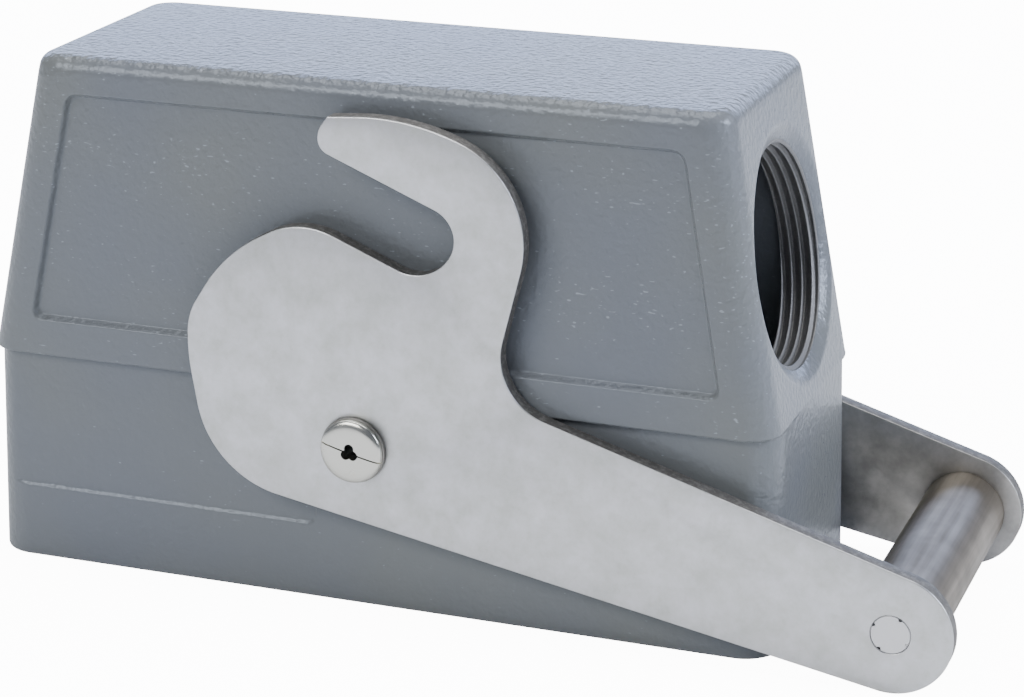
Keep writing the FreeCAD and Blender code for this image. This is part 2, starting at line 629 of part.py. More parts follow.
def earth_contact(x):
    """Folded earth contact under one end of the flange."""
    plate_bottom = EARTH_TOP - EARTH_PLATE_THICKNESS
    half_length = EARTH_PLATE_LENGTH / 2
    half_width = EARTH_PLATE_WIDTH / 2
    plate = brick((x - half_length, x + half_length), (-half_width, half_width), (plate_bottom, EARTH_TOP))
    outer = x + math.copysign(half_length, x)
    inner = outer - math.copysign(EARTH_BLADE_THICKNESS, x)
    half_blade = EARTH_BLADE_WIDTH / 2
    blade = brick(sorted((inner, outer)), (-half_blade, half_blade), (plate_bottom - EARTH_BLADE_REACH, EARTH_TOP))
    radius = EARTH_SCREW_RADIUS + EARTH_SCREW_FIT
    hole = screw_round(radius, plate_bottom - OVERCUT, EARTH_TOP + OVERCUT, x, 0)
    return plate.fuse(blade).cut(hole).removeSplitter()


def earth_screws():
    """Screws that clamp the earth wires and hold the earth contacts, one at each end."""
    length = FLANGE_THICKNESS + EARTH_PLATE_THICKNESS
    screws = []
    for x in (-EARTH_X, EARTH_X):
        screws.append(headed_screw(x, 0, INSERT_SEAT_HEIGHT, EARTH_HEAD_THICKNESS, EARTH_HEAD_RADIUS,
                                   EARTH_SCREW_RADIUS, length))
    return Part.makeCompound(screws)


def build():
    """All nodes by name."""
    nodes = {
        "hood_shell": hood_shell(),
        "rim_seal": seal_ring(0, SEAL_RECESS),
        "lever_cheek_front": front_cheek(),
        "handle_sleeve": handle_sleeve(),
        "handle_axle": handle_axle(),
        "pivot_stud_front": front_stud(),
        "pivot_washer_front": front_washer(),
        "insert_body": insert_body(),
        "insert_screws": insert_screws(),
        "earth_contact_plain_end": earth_contact(-EARTH_X),
        "earth_contact_entry_end": earth_contact(EARTH_X),
        "earth_screws": earth_screws(),
        "clamp_screws": Part.makeCompound([clamp_screw(x, y) for x, y in contact_places()]),
    }
    for name in ("lever_cheek", "pivot_stud", "pivot_washer"):
        nodes[name + "_rear"] = mirror_across(nodes[name + "_front"], Y_AXIS)
    for number, (x, y) in enumerate(contact_places(), start=1):
        nodes["contact_pin_%02d" % number] = contact_pin(x, y)
    return nodes


os.makedirs("parts", exist_ok=True)
for node, shape in build().items():
    shape.exportStep(os.path.join("parts", node + ".step"))
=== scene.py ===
"""Coupling hood of a rectangular connector with its locking lever, dressed for a studio photograph."""
import logging
import math
from dataclasses import dataclass, field
from enum import Enum
from typing import Sequence

import bmesh
import bpy
from mathutils import Matrix, Vector


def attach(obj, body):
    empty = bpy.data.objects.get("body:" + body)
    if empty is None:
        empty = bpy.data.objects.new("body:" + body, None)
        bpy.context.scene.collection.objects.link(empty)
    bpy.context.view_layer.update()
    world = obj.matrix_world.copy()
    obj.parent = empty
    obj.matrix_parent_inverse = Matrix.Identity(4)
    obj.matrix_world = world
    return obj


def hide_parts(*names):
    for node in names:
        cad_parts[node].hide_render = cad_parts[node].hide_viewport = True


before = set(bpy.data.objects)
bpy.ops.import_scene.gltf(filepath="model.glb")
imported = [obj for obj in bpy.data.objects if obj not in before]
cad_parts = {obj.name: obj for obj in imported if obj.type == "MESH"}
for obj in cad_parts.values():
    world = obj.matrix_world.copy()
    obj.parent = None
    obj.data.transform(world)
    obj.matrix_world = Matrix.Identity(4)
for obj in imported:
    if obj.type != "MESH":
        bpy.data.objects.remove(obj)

MM = 0.001
# Height of the lever's axis in millimetres
PIVOT_HEIGHT = 24.9
log = logging.getLogger("coupling_hood")

Pair = tuple[float, float]
Triple = tuple[float, float, float]
Mesh = bmesh.types.BMesh
Tree = bpy.types.NodeTree
Node = bpy.types.Node
Socket = bpy.types.NodeSocket
Sockets = dict[str, object]


class Body(Enum):
    """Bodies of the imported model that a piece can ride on."""

    HOOD = "hood"
    LEVER = "lever"


class Slot(Enum):
    """Material slots of the record, passed to new pieces, which do not use them."""

    HOOD = "hood"
    LEVER = "lever"
    PIVOT = "pivot"


class Side(Enum):
    """Long sides of the hood, by the sign of Y."""

    FRONT = -1
    REAR = 1


class Zone(Enum):
    """Stretches of a level outline, with what a mark's value means there."""

    PLAIN_PART = "distance from the plain end"
    PLAIN_SPAN = "share of the way from the plain part to the pivot pad"
    PAD = "place along X"
    ENTRY_SPAN = "share of the way from the pivot pad to the entry part"
    ENTRY_PART = "distance from the entry end"
    CORNER = "share of a quarter turn"
    END = "share of half the end wall"


# Helpers for shader nodes

def linear(hex_colour: str) -> tuple[float, float, float, float]:
    """Turn an sRGB hex colour into the linear colour that a shader takes.

    Args:
        hex_colour: six hex digits, such as "8A9096".

    Returns:
        Linear red, green, blue and an alpha of one.
    """
    channels = [int(hex_colour[index:index + 2], 16) / 255 for index in (0, 2, 4)]
    curved = [c / 12.92 if c <= 0.04045 else ((c + 0.055) / 1.055) ** 2.4 for c in channels]
    return (curved[0], curved[1], curved[2], 1.0)


def per_metre(size_mm: float) -> float:
    """Scale of a texture whose pattern repeats about every size_mm millimetres."""
    return 1 / (size_mm * MM)


def add(tree: Tree, kind: str, inputs: Sockets | Sequence[object] = (), **settings: object) -> Node:
    """Add a shader node with its settings and its links.

    Args:
        tree: node tree to add to.
        kind: Blender's name of the node type, without its leading "ShaderNode".
        inputs: values by socket name, or in the order of the sockets. A value is a constant, a socket to
            link, or a node whose first output in use is linked.
        settings: attributes of the node.

    Returns:
        The new node.
    """
    node = tree.nodes.new("ShaderNode" + kind)
    for key, value in settings.items():
        setattr(node, key, value)
    for key, value in inputs.items() if isinstance(inputs, dict) else enumerate(inputs):
        if isinstance(value, Node):
            value = next(output for output in value.outputs if output.enabled)
        if isinstance(value, Socket):
            tree.links.new(value, node.inputs[key])
        else:
            node.inputs[key].default_value = value
    return node


@dataclass(frozen=True)
class Finish:
    """A material: what it is made of, and how its surface was finished."""

    name: str

    def material(self) -> bpy.types.Material:
        """Build the material, or find the one already built.

        Returns:
            The material, with its nodes.
        """
        made = bpy.data.materials.get(self.name)
        if made is None:
            made = bpy.data.materials.new(self.name)
            made.use_nodes = True
            tree = made.node_tree
            tree.nodes.clear()
            place = add(tree, "TexCoord").outputs["Object"]
            add(tree, "OutputMaterial", {"Surface": add(tree, "BsdfPrincipled", self.dress(tree, place))})
        return made

    def dress(self, tree: Tree, place: Socket) -> Sockets:
        """Make what goes into the shader's sockets; each finish has its own."""
        raise NotImplementedError


@dataclass(frozen=True)
class PowderCoat(Finish):
    """Textured polyester powder coat, sprayed on cast aluminium and baked.

    The powder melts into low pebbles under a semi-gloss skin. A grazing light shows their grain.
    Glints of single pebbles are painted: scattered specks of a lighter, glossier colour. Real pebbles
    are nearer 0.5 mm; they are drawn coarser so that they show. They stand lowest on the long sides and
    highest on the roof. Fewer painted glints stand below the step.
    """

    cool: str = "65696F"
    warm: str = "696C6C"
    # painted highlight: the lighter colour of the painted glints
    crest: str = "9AA1A8"
    specular_tint: str = "E5F1FF"
    roughness: float = 0.29
    glint_gloss: float = 0.08
    drift_mm: float = 32
    pebble_mm: float = 1.0
    pebble_height_mm: float = 0.36
    grain_mm: float = 0.55
    grain_height_mm: float = 0.14
    glint_mm: float = 0.4
    glint_stretch: Triple = (0.5, 0.8, 1.3)
    glint_region_mm: float = 16
    glint_share: float = 0.6
    glint_heights_mm: Pair = (30, 42)
    top_strength: float = 1.0
    end_strength: float = 0.34
    side_strength: float = 0.25

    def relief(self, tree: Tree) -> Node:
        """Strength of the pebbles, by the direction that a face looks in.

        Args:
            tree: node tree to add to.

        Returns:
            The node that gives the strength.
        """
        normal = add(tree, "NewGeometry").outputs["True Normal"]
        turned = add(tree, "SeparateXYZ", (normal,))
        sideways = add(tree, "Math", (turned.outputs["Y"],), operation="ABSOLUTE")
        walls = add(tree, "MapRange", (sideways, 0.84, 0.975, self.end_strength, self.side_strength))
        extra = self.top_strength - self.end_strength
        roof = add(tree, "MapRange", (turned.outputs["Z"], 0.7, 0.95, 0.0, extra))
        return add(tree, "Math", (walls, roof), operation="ADD")

    def glint(self, tree: Tree, place: Socket) -> Node:
        """Share of the painted glint colour: painted highlights, drawn long by the spray, in loose patches.

        Args:
            tree: node tree to add to.
            place: object coordinates in metres.

        Returns:
            The node that gives the share.
        """
        drawn = add(tree, "Mapping", {"Vector": place, "Scale": self.glint_stretch})
        spark = add(tree, "TexNoise", {"Vector": drawn, "Scale": per_metre(self.glint_mm), "Detail": 0.0})
        patch = {"Vector": place, "Scale": per_metre(self.glint_region_mm), "Detail": 1.0}
        bar = add(tree, "MapRange", (add(tree, "TexNoise", patch), 0.3, 0.7, 0.785, 0.71))
        low, high = (height * MM for height in self.glint_heights_mm)
        height = add(tree, "SeparateXYZ", (place,)).outputs["Z"]
        raised = add(tree, "MapRange", (height, low, high, 0.06, 0.0))
        bar = add(tree, "Math", (bar, raised), operation="ADD")
        over = add(tree, "Math", (spark, bar), operation="SUBTRACT")
        return add(tree, "MapRange", (over, 0.0, 0.09, 0.0, self.glint_share))

    def dress(self, tree: Tree, place: Socket) -> Sockets:
        """Low pebbles, fine grain, scattered painted glints and a faint drift of hue.

        Args:
            tree: node tree to add to.
            place: object coordinates in metres.

        Returns:
            What goes into the shader's sockets.
        """
        drift = add(tree, "TexNoise", {"Vector": place, "Scale": per_metre(self.drift_mm), "Detail": 2.0})
        pebble = add(tree, "TexNoise", {"Vector": place, "Scale": per_metre(self.pebble_mm), "Detail": 1.0,
                                        "Roughness": 0.4})
        grain = add(tree, "TexNoise", {"Vector": place, "Scale": per_metre(self.grain_mm), "Detail": 1.0})
        relief, glint = self.relief(tree), self.glint(tree, place)
        hue = add(tree, "MapRange", (drift, 0.35, 0.65))
        tone = add(tree, "Mix", {"Factor": hue, "A": linear(self.cool), "B": linear(self.warm)},
                   data_type="RGBA")
        # painted glints: the lighter colour is mixed in where glints are painted
        paint = add(tree, "Mix", {"Factor": glint, "A": tone, "B": linear(self.crest)}, data_type="RGBA")
        coarse = add(tree, "Bump", {"Height": pebble, "Strength": relief,
                                    "Distance": self.pebble_height_mm * MM})
        fine = add(tree, "Bump", {"Height": grain, "Strength": relief, "Distance": self.grain_height_mm * MM,
                                  "Normal": coarse})
        shiny = self.roughness - self.glint_gloss
        gloss = add(tree, "MapRange", (glint, 0.0, self.glint_share, self.roughness, shiny))
        return {"Base Color": paint, "Roughness": gloss, "Normal": fine, "IOR": 1.5,
                "Specular Tint": linear(self.specular_tint)}


@dataclass(frozen=True)
class TumbledStainless(Finish):
    """Stainless steel sheet, stamped and tumbled, so its faces are evenly matt with faint cloudy marks.

    On the stamped edge the punch leaves a smooth bright band on its own side and a torn, darker band beyond
    it. The inner faces are painted darker, as painted shade between the two cheeks.
    """

    colour: str = "CECED1"
    dull: str = "BCBEBB"
    # painted shade: the inner faces' two tones are darker than the outer faces, for the shade between the
    # cheeks
    inside: str = "C4C2BE"
    inner_deep_shade: str = "9C9A96"
    torn: str = "6E6C69"
    torn_light: str = "8E8C88"
    roughness: float = 0.36
    torn_roughness: float = 0.62
    inner_face_mm: Pair = (22.34, 22.42)
    torn_from_mm: Pair = (24.6, 24.8)
    cloud_mm: float = 5
    speck_mm: float = 0.9
    tear_wander_mm: float = 0.2
    tear_mm: float = 1.3
    pit_mm: float = 0.35
    pit_depth_mm: float = 0.05

    def dress(self, tree: Tree, place: Socket) -> Sockets:
        """Cloudy satin faces, short random scuffs, the two bands of a stamped edge and painted shade inside.

        Args:
            tree: node tree to add to.
            place: object coordinates in metres.

        Returns:
            What goes into the shader's sockets.
        """
        cloud = add(tree, "TexNoise", {"Vector": place, "Scale": per_metre(self.cloud_mm), "Detail": 4.0,
                                       "Roughness": 0.65})
        speck = add(tree, "TexNoise", {"Vector": place, "Scale": per_metre(self.speck_mm), "Detail": 3.0,
                                       "Roughness": 0.7})
        wander = add(tree, "TexNoise", {"Vector": place, "Scale": per_metre(self.tear_mm), "Detail": 3.0})
        pits = add(tree, "TexNoise", {"Vector": place, "Scale": per_metre(self.pit_mm), "Detail": 2.0})
        blend = add(tree, "Math", (add(tree, "MapRange", (cloud, 0.35, 0.65, 0.0, 0.7)),
                                   add(tree, "MapRange", (speck, 0.4, 0.7, 0.0, 0.3))), operation="ADD")
        depth = add(tree, "Math", (add(tree, "SeparateXYZ", (place,)).outputs["Y"],), operation="ABSOLUTE")
        normal = add(tree, "NewGeometry").outputs["True Normal"]
        turned = add(tree, "SeparateXYZ", (normal,))
        sideways = add(tree, "Math", (turned.outputs["Y"],), operation="ABSOLUTE")
        upright = add(tree, "MapRange", (sideways, 0.25, 0.6, 1.0, 0.0))
        low, high = (distance * MM for distance in self.inner_face_mm)
        # the inner faces of the cheeks, where the painted shade goes
        inner_shade_mask = add(tree, "MapRange", (depth, low, high, 1.0, 0.0))
        low, high = (distance * MM for distance in self.torn_from_mm)
        shifted = add(tree, "Math", (wander, self.tear_wander_mm * MM, depth), operation="MULTIPLY_ADD")
        torn = add(tree, "Math", (add(tree, "MapRange", (shifted, low, high, 1.0, 0.0)), upright),
                   operation="MULTIPLY")
        outer = add(tree, "Mix", {"Factor": blend, "A": linear(self.colour), "B": linear(self.dull)},
                    data_type="RGBA")
        cloudy = add(tree, "MapRange", (cloud, 0.3, 0.7))
        # painted shade on the inner faces, cloudy between a lighter and a darker tone
        painted_inner_shade = add(tree, "Mix", {"Factor": cloudy, "A": linear(self.inside), "B": linear(self.inner_deep_shade)},
                    data_type="RGBA")
        speckled = add(tree, "MapRange", (speck, 0.45, 0.7))
        tear = add(tree, "Mix", {"Factor": speckled, "A": linear(self.torn), "B": linear(self.torn_light)},
                   data_type="RGBA")
        face = add(tree, "Mix", {"Factor": inner_shade_mask, "A": outer, "B": painted_inner_shade}, data_type="RGBA")
        tone = add(tree, "Mix", {"Factor": torn, "A": face, "B": tear}, data_type="RGBA")
        polish = add(tree, "MapRange", (blend, 0.0, 1.0, self.roughness - 0.05, self.roughness + 0.08))
        rough = add(tree, "Mix", {"Factor": torn, "A": polish, "B": self.torn_roughness})
        deep = add(tree, "MapRange", (torn, 0.0, 1.0, 0.12, 0.4))
        bump = add(tree, "Bump", {"Height": pits, "Strength": deep, "Distance": self.pit_depth_mm * MM})
        return {"Base Color": tone, "Roughness": rough, "Normal": bump, "Metallic": 1.0}


@dataclass(frozen=True)
class TurnedSteel(Finish):
    """Metal bar, turned on a lathe: a clean metal with very fine rings square to its axis.

    The rings are nearer 0.05 mm apart; they are drawn coarser so that they show.
    """

    colour: str = "D2D1CD"
    roughness: float = 0.28
    ring_mm: float = 0.12
    ring_height_mm: float = 0.01
    ring_axis: str = "Y"
    cloud_mm: float = 4

    def dress(self, tree: Tree, place: Socket) -> Sockets:
        """Fine tool rings along the axis, with a little cloud in the gloss.

        Args:
            tree: node tree to add to.
            place: object coordinates in metres.

        Returns:
            What goes into the shader's sockets.
        """
        along = add(tree, "SeparateXYZ", (place,)).outputs[self.ring_axis]
        rings = add(tree, "TexNoise", {"W": along, "Scale": per_metre(self.ring_mm), "Detail": 3.0},
                    noise_dimensions="1D")
        cloud = add(tree, "TexNoise", {"Vector": place, "Scale": per_metre(self.cloud_mm), "Detail": 3.0})
        gloss = add(tree, "MapRange", (cloud, 0.3, 0.7, self.roughness - 0.05, self.roughness + 0.08))
        bump = add(tree, "Bump", {"Height": rings, "Strength": 0.35, "Distance": self.ring_height_mm * MM})
        return {"Base Color": linear(self.colour), "Roughness": gloss, "Normal": bump, "Metallic": 1.0}


@dataclass(frozen=True)
class DrawnTube(Finish):
    """Stainless steel tube, drawn through a die and tumbled: satin, with soft streaks that run along it."""

    light: str = "928A7E"
    dark: str = "6B645A"
    roughness: float = 0.4
    streak_mm: float = 1.6
    streak_height_mm: float = 0.03
    streak_stretch: Triple = (1.0, 0.05, 1.0)
    cloud_mm: float = 5

    def dress(self, tree: Tree, place: Socket) -> Sockets:
        """Streaks along Y in tone and gloss, over a faint cloud.

        Args:
            tree: node tree to add to.
            place: object coordinates in metres.

        Returns:
            What goes into the shader's sockets.
        """
        drawn = add(tree, "Mapping", {"Vector": place, "Scale": self.streak_stretch})
        streak = add(tree, "TexNoise", {"Vector": drawn, "Scale": per_metre(self.streak_mm), "Detail": 3.0})
        cloud = add(tree, "TexNoise", {"Vector": place, "Scale": per_metre(self.cloud_mm), "Detail": 3.0})
        both = add(tree, "Math", (add(tree, "MapRange", (streak, 0.36, 0.64, 0.0, 0.65)),
                                  add(tree, "MapRange", (cloud, 0.35, 0.65, 0.0, 0.35))), operation="ADD")
        tone = add(tree, "Mix", {"Factor": both, "A": linear(self.light), "B": linear(self.dark)},
                   data_type="RGBA")
        gloss = add(tree, "MapRange", (both, 0.0, 1.0, self.roughness, self.roughness + 0.1))
        bump = add(tree, "Bump", {"Height": streak, "Strength": 0.6, "Distance": self.streak_height_mm * MM})
        return {"Base Color": tone, "Roughness": gloss, "Normal": bump, "Metallic": 1.0}


@dataclass(frozen=True)
class MachinedAluminium(Finish):
    """Cast aluminium, thread cut: a dull metal painted dark as shade in the bore, with soft light on its
    crests.
    """

    # painted shade: darker than bare aluminium, for the shade inside the bore
    colour: str = "858585"
    roughness: float = 0.62
    chatter_mm: float = 0.3
    chatter_height_mm: float = 0.01

    def dress(self, tree: Tree, place: Socket) -> Sockets:
        """Faint chatter of the tool over a grey metal.

        Args:
            tree: node tree to add to.
            place: object coordinates in metres.

        Returns:
            What goes into the shader's sockets.
        """
        chatter = add(tree, "TexNoise", {"Vector": place, "Scale": per_metre(self.chatter_mm),
                                         "Detail": 2.0})
        gloss = add(tree, "MapRange", (chatter, 0.3, 0.7, self.roughness - 0.06, self.roughness + 0.1))
        bump = add(tree, "Bump", {"Height": chatter, "Strength": 0.2,
                                  "Distance": self.chatter_height_mm * MM})
        return {"Base Color": linear(self.colour), "Roughness": gloss, "Normal": bump, "Metallic": 1.0}


@dataclass(frozen=True)
class MouldedPolymer(Finish):
    """Moulded plastic or rubber, with the fine spark-eroded grain of its mould."""

    colour: str = "C8C8C0"
    roughness: float = 0.5
    grain_mm: float = 0.3
    grain_height_mm: float = 0.008
    cloud_mm: float = 6

    def dress(self, tree: Tree, place: Socket) -> Sockets:
        """Even colour with a fine mould grain and slightly uneven gloss.

        Args:
            tree: node tree to add to.
            place: object coordinates in metres.

        Returns:
            What goes into the shader's sockets.
        """
        grain = add(tree, "TexNoise", {"Vector": place, "Scale": per_metre(self.grain_mm), "Detail": 2.0})
        cloud = add(tree, "TexNoise", {"Vector": place, "Scale": per_metre(self.cloud_mm), "Detail": 2.0})
        gloss = add(tree, "MapRange", (cloud, 0.3, 0.7, self.roughness - 0.05, self.roughness + 0.06))
        bump = add(tree, "Bump", {"Height": grain, "Strength": 1.0, "Distance": self.grain_height_mm * MM})
        return {"Base Color": linear(self.colour), "Roughness": gloss, "Normal": bump}


@dataclass(frozen=True)
class StudioPaper(Finish):
    """White background paper, matt and almost even, exposed towards white as in a catalogue photograph."""

    colour: str = "F2F2F2"
    roughness: float = 0.95
    overexposure: float = 12.0
    tooth_mm: float = 0.8
    tooth_height_mm: float = 0.01

    def dress(self, tree: Tree, place: Socket) -> Sockets:
        """Matt white with a barely visible tooth; the paper is brighter to the camera than to the object.

        Args:
            tree: node tree to add to.
            place: object coordinates in metres.

        Returns:
            What goes into the shader's sockets.
        """
        tooth = add(tree, "TexNoise", {"Vector": place, "Scale": per_metre(self.tooth_mm), "Detail": 2.0})
        bump = add(tree, "Bump", {"Height": tooth, "Strength": 0.1, "Distance": self.tooth_height_mm * MM})
        seen = add(tree, "LightPath").outputs["Is Camera Ray"]
        lift = add(tree, "Math", (seen, self.overexposure), operation="MULTIPLY")
        return {"Base Color": linear(self.colour), "Roughness": self.roughness, "Normal": bump,
                "Emission Color": linear("FFFFFF"), "Emission Strength": lift}


GREY_COAT = PowderCoat("polyester powder coat on cast aluminium, light grey")
SHEET_STEEL = TumbledStainless("stainless steel sheet, stamped and tumbled")
TUBE_STEEL = DrawnTube("stainless steel tube, drawn and tumbled")
ROD_STEEL = TurnedSteel("stainless steel rod, cut and staked", colour="CFCFD0", roughness=0.36)
STUD_STEEL = TurnedSteel("stainless steel stud, turned and polished", colour="CCCBC3", roughness=0.2)
COLLAR_STEEL = TurnedSteel("stainless steel collar, turned", colour="908E89", roughness=0.42)
# painted shade: the thread's metal is drawn dark for the shade inside the bore
THREAD_METAL = MachinedAluminium("cast aluminium, thread cut and dark chromated")
INSERT_PLASTIC = MouldedPolymer("glass-filled polycarbonate, moulded", colour="C9C7BC", roughness=0.55)
SEAL_RUBBER = MouldedPolymer("nitrile rubber, moulded", colour="1B1B1C", roughness=0.7)
CONTACT_METAL = TurnedSteel("silver-plated brass, turned", colour="D9D6CC", roughness=0.3, ring_axis="Z")
SCREW_METAL = TurnedSteel("zinc-plated steel, pressed", colour="B9BBBC", roughness=0.35, ring_axis="Z")
PAPER = StudioPaper("white background paper")


# Helpers for meshes

def link(name: str, mesh: Mesh) -> bpy.types.Object:
    """Turn a mesh in metres into an object of the scene.

    Args:
        name: the object's name.
        mesh: its mesh, which is freed here.

    Returns:
        The new object.
    """
    data = bpy.data.meshes.new(name)
    mesh.to_mesh(data)
    mesh.free()
    made = bpy.data.objects.new(name, data)
    bpy.context.scene.collection.objects.link(made)
    return made


def piece(name: str, mesh: Mesh, finish: Finish, body: Body, slot: Slot, sharp_degrees: float = 35.0,
          replaces: Sequence[str] = ()) -> bpy.types.Object:
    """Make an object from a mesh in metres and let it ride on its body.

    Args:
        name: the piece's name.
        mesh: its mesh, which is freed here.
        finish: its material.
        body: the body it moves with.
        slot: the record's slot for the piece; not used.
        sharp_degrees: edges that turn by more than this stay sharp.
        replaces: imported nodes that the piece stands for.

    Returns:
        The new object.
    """
    bmesh.ops.recalc_face_normals(mesh, faces=mesh.faces)
    for face in mesh.faces:
        face.smooth = True
    for edge in mesh.edges:
        edge.smooth = len(edge.link_faces) == 2 and edge.calc_face_angle(0.0) < math.radians(sharp_degrees)
    made = link(name, mesh)
    made.data.materials.append(finish.material())
    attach(made, body.value)
    if replaces:
        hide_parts(*replaces)
    log.info("%s: %d faces", name, len(made.data.polygons))
    return made


def carve(made: bpy.types.Object, cutters: Sequence[Mesh]) -> None:
    """Cut solids out of a piece.

    Args:
        made: piece to cut.
        cutters: closed meshes in metres to take away, which are freed here.
    """
    for cutter in cutters:
        bmesh.ops.recalc_face_normals(cutter, faces=cutter.faces)
        solid = link("cutter", cutter)
        modifier = made.modifiers.new("cut", "BOOLEAN")
        modifier.operation = "DIFFERENCE"
        modifier.solver = "MANIFOLD"
        modifier.object = solid
        with bpy.context.temp_override(object=made, active_object=made, selected_objects=[made]):
            bpy.ops.object.modifier_apply(modifier=modifier.name)
        bpy.data.objects.remove(solid)


def bridge(mesh: Mesh, rows: Sequence[Sequence[bmesh.types.BMVert]], closed: bool = False) -> None:
    """Join rows of equally many vertices by faces, each row running round.

    Args:
        mesh: mesh to add to.
        rows: rows of vertices, in order.
        closed: whether the last row joins the first.
    """
    pairs = list(zip(rows, rows[1:])) + ([(rows[-1], rows[0])] if closed else [])
    for low, high in pairs:
        for step in range(len(low)):
            after = (step + 1) % len(low)
            mesh.faces.new((low[step], low[after], high[after], high[step]))


def stack(rings: Sequence[Sequence[Vector]], closed: bool = False) -> Mesh:
    """Join rings of equally many points into one surface.

    Args:
        rings: rings of points in millimetres, in order.
        closed: whether the last ring joins the first; if not, both are filled.

    Returns:
        A mesh in metres.
    """
    mesh = bmesh.new()
    rows = [[mesh.verts.new(point * MM) for point in ring] for ring in rings]
    bridge(mesh, rows, closed)
    if not closed:
        mesh.faces.new(rows[0])
        mesh.faces.new(rows[-1])
    return mesh


def circle(radius: float, height: float, segments: int, place: Matrix) -> list[Vector]:
    """Points of a circle round a frame's Z axis.

    Args:
        radius: its radius.
        height: its height along Z.
        segments: its number of points.
        place: the frame.

    Returns:
        The points, counterclockwise.
    """
    turns = [2 * math.pi * step / segments for step in range(segments)]
    return [place @ Vector((radius * math.cos(turn), radius * math.sin(turn), height)) for turn in turns]


def lathe(profile: Sequence[Pair], place: Matrix, segments: int = 96, closed: bool = False) -> Mesh:
    """Turn a profile of (radius, height) points about an axis.

    Args:
        profile: points in millimetres; a radius of nearly zero makes the middle of a disc.
        place: turns the lathe's Z axis to the axis of the piece, in millimetres.
        segments: number of segments of a turn.
        closed: whether the profile's last point joins its first, as in a ring.

    Returns:
        A mesh in metres.
    """
    return stack([circle(radius, height, segments, place) for radius, height in profile], closed)


def sleeve(bore: float, outer: float, low: float, high: float, edge: float) -> list[Pair]:
    """Closed profile of a sleeve with bevelled outer edges.

    Args:
        bore: radius of its hole.
        outer: its outer radius.
        low: height of its lower end.
        high: height of its upper end.
        edge: size of the bevels.

    Returns:
        Points for a closed lathe.
    """
    return [(bore, low), (outer - edge, low), (outer, low + edge), (outer, high - edge),
            (outer - edge, high), (bore, high)]


def along_y(x: float, z: float, side: Side) -> Matrix:
    """Frame whose Z axis leaves a side of the hood, with its origin in the middle plane.

    Args:
        x: place of the axis along X.
        z: height of the axis.
        side: the side that it leaves.

    Returns:
        The frame, in millimetres.
    """
    outward = Vector((0, side.value, 0))
    right = Vector((1, 0, 0))
    turn = Matrix((right, outward.cross(right), outward)).transposed().to_4x4()
    return Matrix.Translation((x, 0, z)) @ turn


def spread(low: float, high: float, step: float) -> list[float]:
    """Evenly spaced values from low to high, both included, about a step apart."""
    count = max(1, round((high - low) / step))
    return [low + (high - low) * index / count for index in range(count + 1)]


def rounded_start(value: float, blend: float) -> float:
    """Round the bend where a value starts to rise from 0.

    Args:
        value: the value, negative before the bend.
        blend: how far the bend is rounded to each side.

    Returns:
        0 before the bend and the value itself beyond it.
    """
    if abs(value) < blend:
        return (value + blend) ** 2 / (4 * blend)
    return max(value, 0.0)


def soft_step(distance: float, width: float, blend: float) -> float:
    """Share of a slope passed at a distance from its start, with both of its ends rounded.

    Args:
        distance: distance past the nominal start of the slope.
        width: width of the slope.
        blend: half the width over which each end is rounded.

    Returns:
        A value from 0 before the slope to 1 beyond it.
    """
    return (rounded_start(distance, blend) - rounded_start(distance - width, blend)) / width


def corner_distance(across: float, up: float, radius: float) -> float:
    """Distance inside a rounded corner.

    Args:
        across: distance inside its upright edge.
        up: distance inside its level edge.
        radius: radius of the corner.

    Returns:
        The distance, negative outside.
    """
    if across < radius and up < radius:
        return radius - math.hypot(radius - across, radius - up)
    return min(across, up)


@dataclass(frozen=True)
class Mark:
    """A place round a level outline that moves with the outline; end and side are signs of X and Y."""

    zone: Zone
    value: float
    end: int
    side: int


@dataclass
class Outline:
    """Level outline of the hood: a rounded rectangle, longer to one end than to the other."""

    plain: float
    entry: float
    width: float
    radius: float

    def blend(self, other: "Outline", share: float) -> "Outline":
        """Outline part of the way to another one.

        Args:
            other: the other outline.
            share: share of the way, from 0 to 1.

        Returns:
            The outline between.
        """
        pairs = ((self.plain, other.plain), (self.entry, other.entry), (self.width, other.width),
                 (self.radius, other.radius))
        return Outline(*(a + (b - a) * share for a, b in pairs))

    def inset(self, distance: float, radius: float) -> "Outline":
        """Outline that lies a distance further in, with corners of its own radius."""
        return Outline(self.plain - distance, self.entry - distance, self.width - distance, radius)


